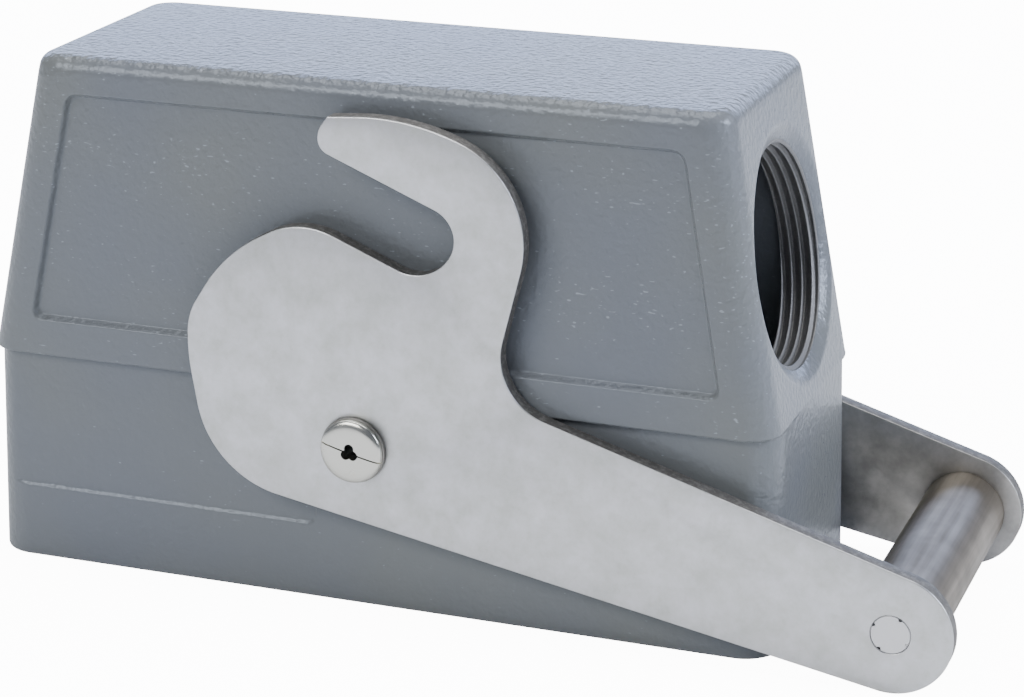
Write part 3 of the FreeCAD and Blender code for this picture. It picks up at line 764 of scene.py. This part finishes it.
@dataclass
class HoodCasting:
    """The cast hood: leaning walls, step, sunk panels, reliefs, dished threaded entry and bosses."""

    rim: Outline = field(default_factory=lambda: Outline(60.0, 60.0, 21.5, 5.7))
    under_step: Outline = field(default_factory=lambda: Outline(59.3, 59.3, 20.8, 5.7))
    over_step: Outline = field(default_factory=lambda: Outline(59.3, 59.3, 21.8, 4.6))
    top: Outline = field(default_factory=lambda: Outline(50.4, 51.4, 20.3, 4.6))
    step_height: float = 31.9
    height: float = 76.0
    rim_edge: float = 0.5
    top_edge: float = 2.4
    lip_edge: float = 0.3
    lip_hollow: float = 0.2
    wall: float = 4.0
    side_wall: float = 3.8
    end_wall: float = 3.6
    roof: float = 3.4
    mouth_edge: float = 0.3
    core_taper: float = 0.3
    core_corner: float = 3.0
    seal_outer: float = 0.9
    seal_inner: float = 3.1
    seal_depth: float = 2.25
    panel_depth: float = 1.0
    panel_side: float = 6.3
    panel_bottom: float = 5.1
    panel_top: float = 4.9
    panel_corner: float = 2.0
    panel_wall_start: float = 0.22
    panel_wall_width: float = 0.56
    panel_blend: float = 0.2
    relief_depth: float = 0.35
    relief_wall_width: float = 0.5
    relief_blend: float = 0.15
    relief_bottom: float = 11.0
    relief_corner: float = 1.8
    pad_half_width: float = 7.4
    pad_part: float = 9.0
    end_part: float = 12.0
    corner_steps: int = 12
    entry_height: float = 52.0
    bore_radius: float = 16.0
    bore_depth: float = 11.0
    bore_edge: float = 0.12
    dish_radius: float = 18.1
    dish_depth: float = 1.0
    thread_pitch: float = 1.5
    thread_height: float = 0.62
    thread_fall: float = 0.76
    thread_start: float = 1.12
    thread_run_out: float = 0.3
    thread_phase: float = 0.7
    thread_end: float = 6.6
    entry_boss_radius: float = 17.1
    entry_boss_start: float = 3.2
    entry_boss_end: float = 6.8
    pivot_bore: float = 3.22
    pivot_boss_radius: float = 6.6
    pivot_boss_foot: float = 0.5
    pivot_boss_start: float = 19.0
    pivot_boss_step: float = 21.4
    pivot_boss_end: float = 22.0
    pivot_boss_edge: float = 0.2

    def lean(self, top: float, low: float) -> float:
        """Angle by which a wall leans in, from its distances at the roof and at the step."""
        return math.atan2(low - top, self.height - self.step_height)

    def lower_wall(self, height: float) -> Outline:
        """Outline of the walls at a height below the step."""
        return self.rim.blend(self.under_step, height / self.step_height)

    def upper_wall(self, height: float) -> Outline:
        """Outline of the walls at a height above the step."""
        return self.over_step.blend(self.top, (height - self.step_height) / (self.height - self.step_height))

    def entry_frame(self) -> Matrix:
        """Frame of the entry: Z leaves the leaning end wall, with its origin on the wall's outside.

        Returns:
            The frame, in millimetres.
        """
        lean = self.lean(self.top.entry, self.over_step.entry)
        face = Vector((self.upper_wall(self.entry_height).entry, 0, self.entry_height))
        outward = Vector((math.cos(lean), 0, math.sin(lean)))
        across = Vector((0, 1, 0))
        turn = Matrix((across, outward.cross(across), outward)).transposed().to_4x4()
        return Matrix.Translation(face) @ turn

    def perimeter(self) -> list[Mark]:
        """Marks round an outline, dense where the forms turn.

        Returns:
            Marks in order, from the left end of the front, counterclockwise seen from above.
        """
        near_end = [0.0, 6.0] + spread(self.panel_side - 0.05, self.panel_side + 1.05, 0.085)
        near_end += spread(self.panel_side + 1.25, self.panel_side + 2.8, 0.22) + [10.9, self.end_part]
        near_pad = spread(self.pad_half_width - 1.2, self.pad_part, 0.2)
        pad = [-x for x in reversed(near_pad)] + spread(-4.0, 4.0, 2.0) + near_pad
        shares = spread(0.07, 0.93, 0.066)
        front = [(zone, value) for zone, values in (
            (Zone.PLAIN_PART, near_end), (Zone.PLAIN_SPAN, shares), (Zone.PAD, pad),
            (Zone.ENTRY_SPAN, shares), (Zone.ENTRY_PART, reversed(near_end))) for value in values]
        turn = [index / self.corner_steps for index in range(1, self.corner_steps)]
        marks = []
        for side, end, stretches, across in ((-1, 1, front, 0.1), (1, -1, reversed(front), 0.2)):
            marks += [Mark(zone, value, 0, side) for zone, value in stretches]
            marks += [Mark(Zone.CORNER, share, end, side) for share in turn]
            marks += [Mark(Zone.END, share, end, 0) for share in spread(-1.0, 1.0, across)]
            marks += [Mark(Zone.CORNER, share, end, -side) for share in turn]
        return marks

    def spot(self, outline: Outline, mark: Mark) -> tuple[Vector, Vector]:
        """Where a mark lies on an outline.

        Args:
            outline: the level outline, on z = 0.
            mark: the mark.

        Returns:
            The place, and the outline's outward normal there.
        """
        reach = outline.entry if mark.end > 0 else outline.plain
        straight = outline.width - outline.radius
        if mark.zone is Zone.CORNER:
            turn = (mark.value if mark.end * mark.side < 0 else 1 - mark.value) * math.pi / 2
            normal = Vector((mark.end * math.sin(turn), mark.side * math.cos(turn), 0))
            centre = Vector((mark.end * (reach - outline.radius), mark.side * straight, 0))
            return centre + normal * outline.radius, normal
        if mark.zone is Zone.END:
            return Vector((mark.end * reach, mark.value * straight * mark.end, 0)), Vector((mark.end, 0, 0))
        margin, share = max(mark.value, outline.radius), mark.value
        x = {Zone.PLAIN_PART: margin - outline.plain,
             Zone.PLAIN_SPAN: (self.end_part - outline.plain) * (1 - share) - self.pad_part * share,
             Zone.PAD: mark.value,
             Zone.ENTRY_SPAN: self.pad_part * (1 - share) + (outline.entry - self.end_part) * share,
             Zone.ENTRY_PART: outline.entry - margin}[mark.zone]
        return Vector((x, mark.side * outline.width, 0)), Vector((0, mark.side, 0))

    def ring(self, outline: Outline, height: float, outset: float = 0.0) -> list[Vector]:
        """Points of an outline at a height, moved out along the outline's own normal.

        Args:
            outline: the level outline.
            height: its height.
            outset: distance to move the points out, or in if negative.

        Returns:
            The ring's points.
        """
        lift = Vector((0, 0, height))
        return [place + normal * outset + lift
                for place, normal in (self.spot(outline, mark) for mark in self.perimeter())]

    def sunk(self, outline: Outline, height: float, share: float = 1.0) -> list[Vector]:
        """Ring of the outside, moved in to the panels or reliefs that it crosses.

        Args:
            outline: the walls' outline at the height.
            height: its height.
            share: share of the reliefs' full depth.

        Returns:
            The ring's points on the finished surface.
        """
        points = self.ring(outline, height)
        over = height > self.step_height
        room = min(height - self.step_height - self.panel_bottom, self.height - self.panel_top - height)
        for point in points:
            if over:
                margin = min(point.x + outline.plain, outline.entry - point.x) - self.panel_side
                inside = corner_distance(margin, room, self.panel_corner) - self.panel_wall_start
                depth = self.panel_depth * soft_step(inside, self.panel_wall_width, self.panel_blend)
            else:
                inside = corner_distance(abs(point.x) - self.pad_half_width, height - self.relief_bottom,
                                         self.relief_corner)
                fall = soft_step(inside, self.relief_wall_width, self.relief_blend)
                depth = self.relief_depth * fall * share
            point.y = math.copysign(min(abs(point.y), outline.width - depth), point.y)
        return points

    def cavity_rings(self) -> list[list[Vector]]:
        """Rings down the cavity, through the seal groove and round the rim's outer edge.

        Returns:
            Rings in order.
        """
        mouth = self.rim.inset(self.wall, self.core_corner)
        core = mouth.inset(self.core_taper, self.core_corner)
        ceiling = Outline(self.top.plain - self.end_wall, self.top.entry - self.end_wall,
                          self.top.width - self.side_wall, self.core_corner)
        rings = [self.ring(ceiling, self.height - self.roof), self.ring(core, self.step_height),
                 self.ring(mouth, self.mouth_edge), self.ring(mouth, 0.0, self.mouth_edge)]
        rings += [self.ring(self.rim, height, -inset) for inset, height in (
            (self.seal_inner, 0.0), (self.seal_inner, self.seal_depth),
            (self.seal_outer, self.seal_depth), (self.seal_outer, 0.0))]
        for turn in spread(0.0, math.pi / 2, math.pi / 10):
            height = self.rim_edge * (1 - math.cos(turn))
            rings.append(self.ring(self.lower_wall(height), height, -self.rim_edge * (1 - math.sin(turn))))
        return rings

    def wall_rings(self) -> list[list[Vector]]:
        """Rings up the outside, close together at the edges of the reliefs and panels.

        Returns:
            Rings in order.
        """
        edge = self.relief_bottom
        low = spread(1.5, edge - 1.0, 1.7) + spread(edge - 0.7, edge - 0.3, 0.2)
        low += spread(edge - 0.2, edge + 0.75, 0.05) + spread(edge + 0.95, edge + 1.8, 0.3)
        low += spread(edge + 2.5, self.step_height - 1.2, 1.9)
        floor, roof = self.step_height + self.panel_bottom, self.height - self.panel_top
        high = spread(self.step_height + 1.1, floor - 0.4, 0.7) + spread(floor - 0.2, floor + 1.15, 0.08)
        high += spread(floor + 1.35, floor + 3.0, 0.22) + spread(floor + 3.5, roof - 3.5, 0.8)
        high += spread(roof - 3.0, roof - 1.35, 0.22) + spread(roof - 1.15, roof + 0.2, 0.08)
        high += spread(roof + 0.4, self.height - 2.7, 0.6)
        rings = [self.sunk(self.lower_wall(height), height) for height in low]
        rings += self.lip_rings()
        return rings + [self.sunk(self.upper_wall(height), height) for height in high]

    def lip_rings(self) -> list[list[Vector]]:
        """Rings of the step: a hollow corner under it and a rounded edge over it.

        Returns:
            Rings in order.
        """
        overhang = self.over_step.width - self.under_step.width
        rings = []
        for turn in spread(0.0, math.pi / 2, math.pi / 8):
            share = self.lip_hollow * (1 - math.cos(turn)) / overhang
            height = self.step_height - self.lip_hollow * (1 - math.sin(turn))
            rings.append(self.sunk(self.under_step.blend(self.over_step, share), height, 1 - share))
        for turn in spread(0.0, math.pi / 2, math.pi / 12):
            share = 1 - self.lip_edge * (1 - math.sin(turn)) / overhang
            height = self.step_height + self.lip_edge * (1 - math.cos(turn))
            rings.append(self.ring(self.under_step.blend(self.over_step, share), height))
        return rings

    def top_rings(self) -> list[list[Vector]]:
        """Rings of the rounded edge between the leaning walls and the roof.

        Returns:
            Rings in order, the last one round the flat roof.
        """
        lean_side = self.lean(self.top.width, self.over_step.width)
        lean_ends = {1: self.lean(self.top.entry, self.over_step.entry),
                     -1: self.lean(self.top.plain, self.over_step.plain)}
        spots = [self.spot(self.top, mark) for mark in self.perimeter()]
        rings = []
        for share in spread(0.0, 1.0, 0.1):
            ring = []
            for place, normal in spots:
                start = lean_side * normal.y ** 2 + lean_ends[1 if normal.x > 0 else -1] * normal.x ** 2
                turn = start + (math.pi / 2 - start) * share
                outset = self.top_edge * (math.tan(start) - 1 / math.cos(start) + math.cos(turn))
                lift = Vector((0, 0, self.height + self.top_edge * (math.sin(turn) - 1)))
                ring.append(place + normal * outset + lift)
            rings.append(ring)
        return rings

    def bore_tool(self) -> Mesh:
        """Solid that cuts the entry bore and the shallow dish round it.

        Returns:
            A closed mesh in metres.
        """
        floor, dish = -self.dish_depth, self.dish_radius
        profile = [(self.bore_radius, -self.bore_depth), (self.bore_radius, floor - self.bore_edge),
                   (self.bore_radius + self.bore_edge, floor + 0.02), (dish - 0.35, -0.14),
                   (dish - 0.1, -0.045), (dish + 0.25, 0.0), (dish + 0.26, 4.0)]
        return lathe(profile, self.entry_frame(), 160)

    def thread_shape(self, inward: float) -> float:
        """Height of the thread, from 0 to 1, at a share of a pitch inward of a crest.

        Args:
            inward: share of a pitch, from 0 at one crest to 1 at the next.

        Returns:
            1 at the crests, falling gently inward and rising steeply to the next crest.
        """
        if inward < self.thread_fall:
            return 0.5 + 0.5 * math.cos(math.pi * inward / self.thread_fall)
        return 0.5 - 0.5 * math.cos(math.pi * (inward - self.thread_fall) / (1 - self.thread_fall))

    def build_thread(self) -> None:
        """Cut thread of the entry, a true helix inside the boss."""
        segments, place = 180, self.entry_frame()
        start, end = -self.thread_start, -self.thread_end
        root, outer = self.bore_radius - 0.03, self.bore_radius - 0.01
        rings = []
        for depth in reversed(spread(end, start, self.thread_pitch / 20)):
            ring = []
            fade = min(1.0, (start - depth) / self.thread_run_out)
            for step in range(segments):
                turn = 2 * math.pi * step / segments
                inward = (-(depth + self.thread_phase) / self.thread_pitch - step / segments) % 1.0
                radius = root - self.thread_height * self.thread_shape(inward) * fade
                ring.append(place @ Vector((radius * math.cos(turn), radius * math.sin(turn), depth)))
            rings.append(ring)
        rings += [circle(outer, depth, segments, place) for depth in (end, start)]
        piece("entry_thread", stack(rings, closed=True), THREAD_METAL, Body.HOOD, Slot.HOOD, 50)

    def build_bosses(self) -> None:
        """Tube behind the entry wall, and the pivot bosses that the cheeks run against."""
        inner, outer = self.bore_radius + 0.002, self.entry_boss_radius
        back, start = -self.entry_boss_end, -self.entry_boss_start
        profile = [(inner, back), (outer, back), (outer, start), (inner, start)]
        boss = lathe(profile, self.entry_frame(), 120, closed=True)
        piece("entry_boss", boss, GREY_COAT, Body.HOOD, Slot.HOOD)
        outer, foot = self.pivot_boss_radius, self.pivot_boss_radius + self.pivot_boss_foot
        profile = [(self.pivot_bore, self.pivot_boss_start), (foot, self.pivot_boss_start),
                   (foot, self.pivot_boss_step - self.pivot_boss_foot), (outer, self.pivot_boss_step),
                   (outer, self.pivot_boss_end - self.pivot_boss_edge),
                   (outer - self.pivot_boss_edge, self.pivot_boss_end),
                   (self.pivot_bore, self.pivot_boss_end)]
        for side in Side:
            boss = lathe(profile, along_y(0.0, PIVOT_HEIGHT, side), closed=True)
            piece("pivot_boss_" + side.name.lower(), boss, GREY_COAT, Body.HOOD, Slot.HOOD)

    def build(self) -> None:
        """Make the casting, cut its entry and add its thread and bosses."""
        sharp_degrees = 40
        mesh = stack(self.cavity_rings() + self.wall_rings() + self.top_rings())
        bmesh.ops.remove_doubles(mesh, verts=mesh.verts, dist=1e-7)
        casting = piece("hood_casting", mesh, GREY_COAT, Body.HOOD, Slot.HOOD, sharp_degrees, ["hood_shell"])
        carve(casting, [self.bore_tool()])
        for edge in casting.data.edges:
            edge.use_edge_sharp = False
        casting.data.set_sharp_from_angle(angle=math.radians(sharp_degrees))
        self.build_thread()
        self.build_bosses()


@dataclass
class LockingLever:
    """The lever: two hooked cheeks, the tube between them and the axle staked into both.

    The cheek's corners are (along the handle, up, radius), about the pivot. The axle's bevel is
    (inward, along the axle).
    """

    reach: float = 78.5
    end_radius: float = 8.5
    floor_gap: float = 0.05
    inner_face: float = 22.3
    thickness: float = 2.5
    edge: float = 0.14
    pivot_hole: float = 3.3
    axle_radius: float = 2.75
    axle_bevel: Pair = (0.12, 0.15)
    axle_fit: float = 0.02
    sleeve_radius: float = 6.0
    sleeve_edge: float = 0.3
    sleeve_clearance: float = 0.15
    stake_degrees: Sequence[int] = (26, 124, 207, 299)
    stake_radius: float = 0.5
    stake_depth: float = 0.45
    arc_step_degrees: float = 3.0
    neck: Triple = (17.4, 13.8, 8.9)
    shoulder: Triple = (18.7, 45.7, 14.7)
    crown: Triple = (-1.9, 48.9, 33.4)
    tip_top: Triple = (-12.9, 45.6, 0.3)
    tip_back: Triple = (-13.8, 43.7, 3.0)
    tip_bottom: Triple = (-13.6, 40.8, 2.3)
    slot_top: Triple = (10.1, 36.5, 4.4)
    slot_bottom: Triple = (5.8, 26.7, 6.2)
    lobe_top: Triple = (-14.2, 30.3, 11.4)
    lobe_back: Triple = (-24.1, 22.0, 22.3)
    lobe_flat: Triple = (-28.0, 11.5, 9.8)
    lobe_heel: Triple = (-27.0, 5.7, 30.4)
    heel: Triple = (-20.4, -11.0, 14.9)

    def parked(self) -> Matrix:
        """Turn and height of the parked lever, whose handle lies just clear of the floor.

        Returns:
            The turn about Y and the lift to the pivot, in millimetres.
        """
        angle = math.asin((PIVOT_HEIGHT - self.end_radius - self.floor_gap) / self.reach)
        return Matrix.Translation((0, 0, PIVOT_HEIGHT)) @ Matrix.Rotation(angle, 4, "Y")

    def end_corner(self, neighbour: Triple, side: int) -> Triple:
        """Corner of the tip where the edge from a neighbour runs tangent to the round end.

        Args:
            neighbour: the corner at the edge's other end.
            side: 1 for the edge over the handle, -1 for the one under it.

        Returns:
            The corner, with the round end's radius.
        """
        across, up = neighbour[0] - self.reach, neighbour[1]
        normal = math.atan2(up, across) - side * math.acos(self.end_radius / math.hypot(across, up))
        height = self.end_radius * (1 - math.cos(normal)) / math.sin(normal)
        return (self.reach + self.end_radius, height, self.end_radius)

    def outline(self) -> list[tuple[Vector, Vector]]:
        """Points of the cheek's outline with their outward normals, in the cheek's own frame.

        Returns:
            (point, normal) pairs, counterclockwise.
        """
        corners = [self.end_corner(self.heel, -1), self.end_corner(self.neck, 1), self.neck, self.shoulder,
                   self.crown, self.tip_top, self.tip_back, self.tip_bottom, self.slot_top, self.slot_bottom,
                   self.lobe_top, self.lobe_back, self.lobe_flat, self.lobe_heel, self.heel]
        points = [Vector(corner[:2]) for corner in corners]
        after = points[1:] + points[:1]
        lengths = [(end - start).length for start, end in zip(points, after)]
        before = points[-1:] + points[:-1]
        half = [(start - point).angle(end - point) / 2 for start, point, end in zip(before, points, after)]
        wanted = [corner[2] / math.tan(angle) for corner, angle in zip(corners, half)]
        share = [min(1.0, 0.998 * length / (mine + following))
                 for length, mine, following in zip(lengths, wanted, wanted[1:] + wanted[:1])]
        result = []
        for index, point in enumerate(points):
            back, ahead = (before[index] - point).normalized(), (after[index] - point).normalized()
            setback = wanted[index] * min(share[index], share[index - 1])
            radius = setback * math.tan(half[index])
            centre = point + (back + ahead).normalized() * (radius / math.sin(half[index]))
            sign = 1 if back.cross(ahead) < 0 else -1
            first = point + back * setback - centre
            total = math.pi - 2 * half[index]
            steps = max(2, math.ceil(math.degrees(total) / self.arc_step_degrees))
            for step in range(steps + 1):
                arm = Matrix.Rotation(total * step / steps * sign, 2) @ first
                result.append((centre + arm, arm.normalized() * sign))
        return result

    def cheek(self, side: Side) -> Mesh:
        """Sheet of one cheek with its softened stamped edges and its two holes.

        Args:
            side: the side of the hood it runs on.

        Returns:
            A mesh in metres.
        """
        segments = 72
        turns = spread(0.0, math.pi / 2, math.pi / 6)
        bevel = [(self.edge * (1 - math.sin(turn)), self.edge * (1 - math.cos(turn))) for turn in turns]
        layers = [(inset, self.inner_face + depth) for inset, depth in bevel]
        layers += [(inset, self.inner_face + self.thickness - depth) for inset, depth in reversed(bevel)]
        clockwise = [-2 * math.pi * step / segments for step in range(segments)]
        loops = [self.outline()]
        for centre, radius in ((0.0, self.pivot_hole), (self.reach, self.axle_radius + self.axle_fit)):
            arms = [Matrix.Rotation(turn, 2) @ Vector((1, 0)) for turn in clockwise]
            loops.append([(Vector((centre, 0)) + arm * radius, -arm) for arm in arms])
        mesh, place = bmesh.new(), Matrix.Scale(MM, 4) @ self.parked()
        rims = ([], [])
        for loop in loops:
            rows = []
            for inset, distance in layers:
                moved = [point - normal * inset for point, normal in loop]
                across = side.value * distance
                rows.append([mesh.verts.new(place @ Vector((u, across, v))) for u, v in moved])
            bridge(mesh, rows)
            for rim, row in zip(rims, (rows[0], rows[-1])):
                rim += [mesh.edges.get(pair) for pair in zip(row, row[1:] + row[:1])]
        for rim in rims:
            bmesh.ops.triangle_fill(mesh, use_beauty=True, use_dissolve=False, edges=rim)
        return mesh

    def build(self) -> None:
        """Make both cheeks, the tube and the staked axle."""
        for side in Side:
            name = side.name.lower()
            piece("cheek_sheet_" + name, self.cheek(side), SHEET_STEEL, Body.LEVER, Slot.LEVER, 50,
                  ["lever_cheek_" + name])
        tip = self.parked() @ Vector((self.reach, 0, 0))
        frame_y = along_y(tip.x, tip.z, Side.REAR)
        half = self.inner_face - 0.01
        profile = sleeve(self.axle_radius + self.sleeve_clearance, self.sleeve_radius, -half, half,
                         self.sleeve_edge)
        tube = lathe(profile, frame_y, 128, closed=True)
        piece("handle_tube", tube, TUBE_STEEL, Body.LEVER, Slot.LEVER, 30, ["handle_sleeve"])
        self.build_axle(frame_y)

    def build_axle(self, frame_y: Matrix) -> None:
        """Axle with its ends flush in the cheeks, each staked by four punch marks.

        Args:
            frame_y: frame of the axle, its Z axis along the axle.
        """
        half, radius = self.inner_face + self.thickness, self.axle_radius
        inward, along = self.axle_bevel
        profile = [(0.01, -half), (radius - inward, -half), (radius, along - half), (radius, half - along),
                   (radius - inward, half), (0.01, half)]
        axle = piece("axle_rod", lathe(profile, frame_y), ROD_STEEL, Body.LEVER, Slot.LEVER, 30,
                     ["handle_axle"])
        punches = []
        for side in Side:
            for degrees in self.stake_degrees:
                punch = bmesh.new()
                bmesh.ops.create_cone(punch, segments=4, radius1=0.0001, radius2=self.stake_radius,
                                      depth=self.stake_depth, cap_ends=True)
                flip = Matrix.Rotation(0 if side is Side.REAR else math.pi, 4, "X")
                spin = Matrix.Rotation(math.radians(degrees), 4, "Z")
                arm = Matrix.Translation((radius - 0.1, 0, side.value * (half - 0.1)))
                punch.transform(Matrix.Scale(MM, 4) @ frame_y @ spin @ arm @ flip)
                punches.append(punch)
        carve(axle, punches)


@dataclass
class PivotStuds:
    """Headed studs that the cheeks turn on, each with a collar behind its head.

    The dome's points are (radius, drop below the middle of the head).
    """

    shank_radius: float = 3.2
    tail_radius: float = 4.4
    tail_edge: float = 0.4
    tail_start: float = 16.02
    tail_end: float = 17.2
    head_start: float = 25.55
    head_end: float = 26.65
    head_radius: float = 4.6
    head_edge: float = 0.1
    dome: Sequence[Pair] = ((4.6, 0.82), (4.57, 0.7), (4.5, 0.58), (4.38, 0.46), (4.2, 0.35), (3.95, 0.255),
                            (3.6, 0.175), (3.1, 0.11), (2.5, 0.065), (1.8, 0.03), (1.0, 0.01), (0.01, 0.0))
    slit_width: float = 0.22
    slit_depth: float = 1.0
    slit_turn_degrees: float = -14.0
    lobe_radius: float = 0.7
    lobe_offset: float = 0.62
    lobe_degrees: Sequence[int] = (90, 210, 330)
    hole_depth: float = 8.0
    collar_radius: float = 4.75
    collar_clearance: float = 0.1
    collar_edge: float = 0.1
    collar_start: float = 24.9
    collar_end: float = 25.5

    def head_tools(self, frame_y: Matrix) -> list[Mesh]:
        """Cutters for the hairline slit and the clover hole in the middle of a head.

        Args:
            frame_y: frame of the stud, its Z axis out through the head.

        Returns:
            Closed meshes in metres.
        """
        slit = bmesh.new()
        bmesh.ops.create_cube(slit, size=1.0)
        stretch = Matrix.Diagonal((self.head_radius * 2.4, self.slit_width, self.slit_depth * 2, 1))
        lift = Matrix.Translation((0, 0, self.head_end))
        turn = Matrix.Rotation(math.radians(self.slit_turn_degrees), 4, "Z")
        slit.transform(Matrix.Scale(MM, 4) @ frame_y @ lift @ turn @ stretch)
        profile = [(self.lobe_radius, self.head_end - self.hole_depth),
                   (self.lobe_radius, self.head_end + 1)]
        tools = [slit]
        for degrees in self.lobe_degrees:
            arm = Matrix.Rotation(math.radians(degrees), 3, "Z") @ Vector((self.lobe_offset, 0, 0))
            tools.append(lathe(profile, frame_y @ Matrix.Translation(arm), 32))
        return tools

    def build(self) -> None:
        """Make both studs and both collars."""
        shank = [(0.01, self.tail_start), (self.tail_radius - self.tail_edge, self.tail_start),
                 (self.tail_radius, self.tail_start + self.tail_edge), (self.tail_radius, self.tail_end),
                 (self.shank_radius, self.tail_end), (self.shank_radius, self.head_start),
                 (self.head_radius - self.head_edge, self.head_start),
                 (self.head_radius, self.head_start + self.head_edge)]
        head = [(radius, self.head_end - drop) for radius, drop in self.dome]
        collar = sleeve(self.shank_radius + self.collar_clearance, self.collar_radius, self.collar_start,
                        self.collar_end, self.collar_edge)
        for side in Side:
            name = side.name.lower()
            frame_y = along_y(0.0, PIVOT_HEIGHT, side)
            stud = piece("stud_" + name, lathe(shank + head, frame_y, 128), STUD_STEEL, Body.HOOD,
                         Slot.PIVOT, 30, ["pivot_stud_" + name])
            carve(stud, self.head_tools(frame_y))
            piece("collar_" + name, lathe(collar, frame_y, 128, closed=True), COLLAR_STEEL, Body.HOOD,
                  Slot.PIVOT, 30, ["pivot_washer_" + name])


@dataclass
class PinInsert:
    """The pin insert and the seal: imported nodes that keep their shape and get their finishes."""

    finishes: dict[str, Finish] = field(default_factory=lambda: {
        "insert_body": INSERT_PLASTIC, "rim_seal": SEAL_RUBBER, "contact_pin": CONTACT_METAL,
        "clamp_screws": SCREW_METAL, "insert_screws": SCREW_METAL, "earth": SCREW_METAL})

    def build(self) -> None:
        """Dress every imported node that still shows."""
        for name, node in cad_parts.items():
            for start, finish in self.finishes.items():
                if name.startswith(start):
                    node.data.materials.clear()
                    node.data.materials.append(finish.material())
                    log.info("%s: %s", name, finish.name)


@dataclass(frozen=True)
class SoftBox:
    """A rectangular soft box: its place and size in metres, its power in watts and its colour."""

    name: str
    place: Triple
    size: Pair
    watts: float
    colour: str = "FFFFFF"

    def hang(self, target: Vector) -> None:
        """Hang the soft box so that it faces a target.

        Args:
            target: the place that it faces, in metres.
        """
        data = bpy.data.lights.new(self.name, "AREA")
        data.shape = "RECTANGLE"
        data.size, data.size_y = self.size
        data.energy = self.watts
        data.color = linear(self.colour)[:3]
        light = bpy.data.objects.new(self.name, data)
        light.location = self.place
        light.rotation_euler = (target - Vector(self.place)).to_track_quat("-Z", "Y").to_euler()
        light.visible_camera = False
        bpy.context.scene.collection.objects.link(light)


@dataclass
class Studio:
    """White paper floor, soft boxes and the camera at the photograph's viewpoint."""

    camera_place: Triple = (152.466, -378.199, 170.736)
    turn_degrees: float = 20.059
    tilt_degrees: float = 18.830
    lens_mm: float = 103.75
    sensor_mm: float = 36.0
    floor_size: float = 6.0
    sky_colour: str = "E6EEFF"
    sky_strength: float = 0.26
    background_strength: float = 12.5
    middle: Triple = (0.01, 0.0, 0.04)
    boxes: Sequence[SoftBox] = (
        SoftBox("overhead_box", (0.0, 0.15, 1.1), (1.0, 0.8), 12.0),
        SoftBox("side_box", (1.05, 0.15, 0.55), (0.5, 0.5), 16.5, "E6EDFF"),
        SoftBox("key_box", (-0.46, -1.0, 0.85), (0.85, 0.48), 12.6),
        SoftBox("back_box", (-0.5, 1.5, 0.5), (2.4, 0.8), 26.5, "C0D3FF"))

    def build_camera(self) -> None:
        """Camera at the place and with the lens that the photograph was taken with."""
        data = bpy.data.cameras.new("camera")
        data.lens = self.lens_mm
        data.sensor_width = self.sensor_mm
        data.clip_start = 0.01
        camera = bpy.data.objects.new("camera", data)
        camera.location = Vector(self.camera_place) * MM
        camera.rotation_euler = (math.radians(90 - self.tilt_degrees), 0, math.radians(self.turn_degrees))
        bpy.context.scene.collection.objects.link(camera)
        bpy.context.scene.camera = camera

    def build_floor(self) -> None:
        """Lay the white paper."""
        mesh = bmesh.new()
        bmesh.ops.create_grid(mesh, x_segments=8, y_segments=8, size=self.floor_size)
        floor = link("floor", mesh)
        floor.data.materials.append(PAPER.material())

    def build_sky(self) -> None:
        """Light the room faintly, with a background as white as the paper."""
        world = bpy.data.worlds.new("studio")
        world.use_nodes = True
        tree = world.node_tree
        tree.nodes.clear()
        room = add(tree, "Background", {"Color": linear(self.sky_colour), "Strength": self.sky_strength})
        white = add(tree, "Background", {"Color": linear("FFFFFF"), "Strength": self.background_strength})
        seen = add(tree, "LightPath").outputs["Is Camera Ray"]
        add(tree, "OutputWorld", {"Surface": add(tree, "MixShader", (seen, room, white))})
        bpy.context.scene.world = world

    def build(self) -> None:
        """Lay the floor, hang the lights and set the camera."""
        self.build_floor()
        self.build_sky()
        for box in self.boxes:
            box.hang(Vector(self.middle))
        self.build_camera()


def main() -> None:
    """Build every sub-assembly in order."""
    logging.basicConfig(level=logging.INFO, format="%(message)s")
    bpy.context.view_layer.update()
    for assembly in (HoodCasting(), LockingLever(), PivotStuds(), PinInsert(), Studio()):
        assembly.build()


if __name__ == "__main__":
    main()
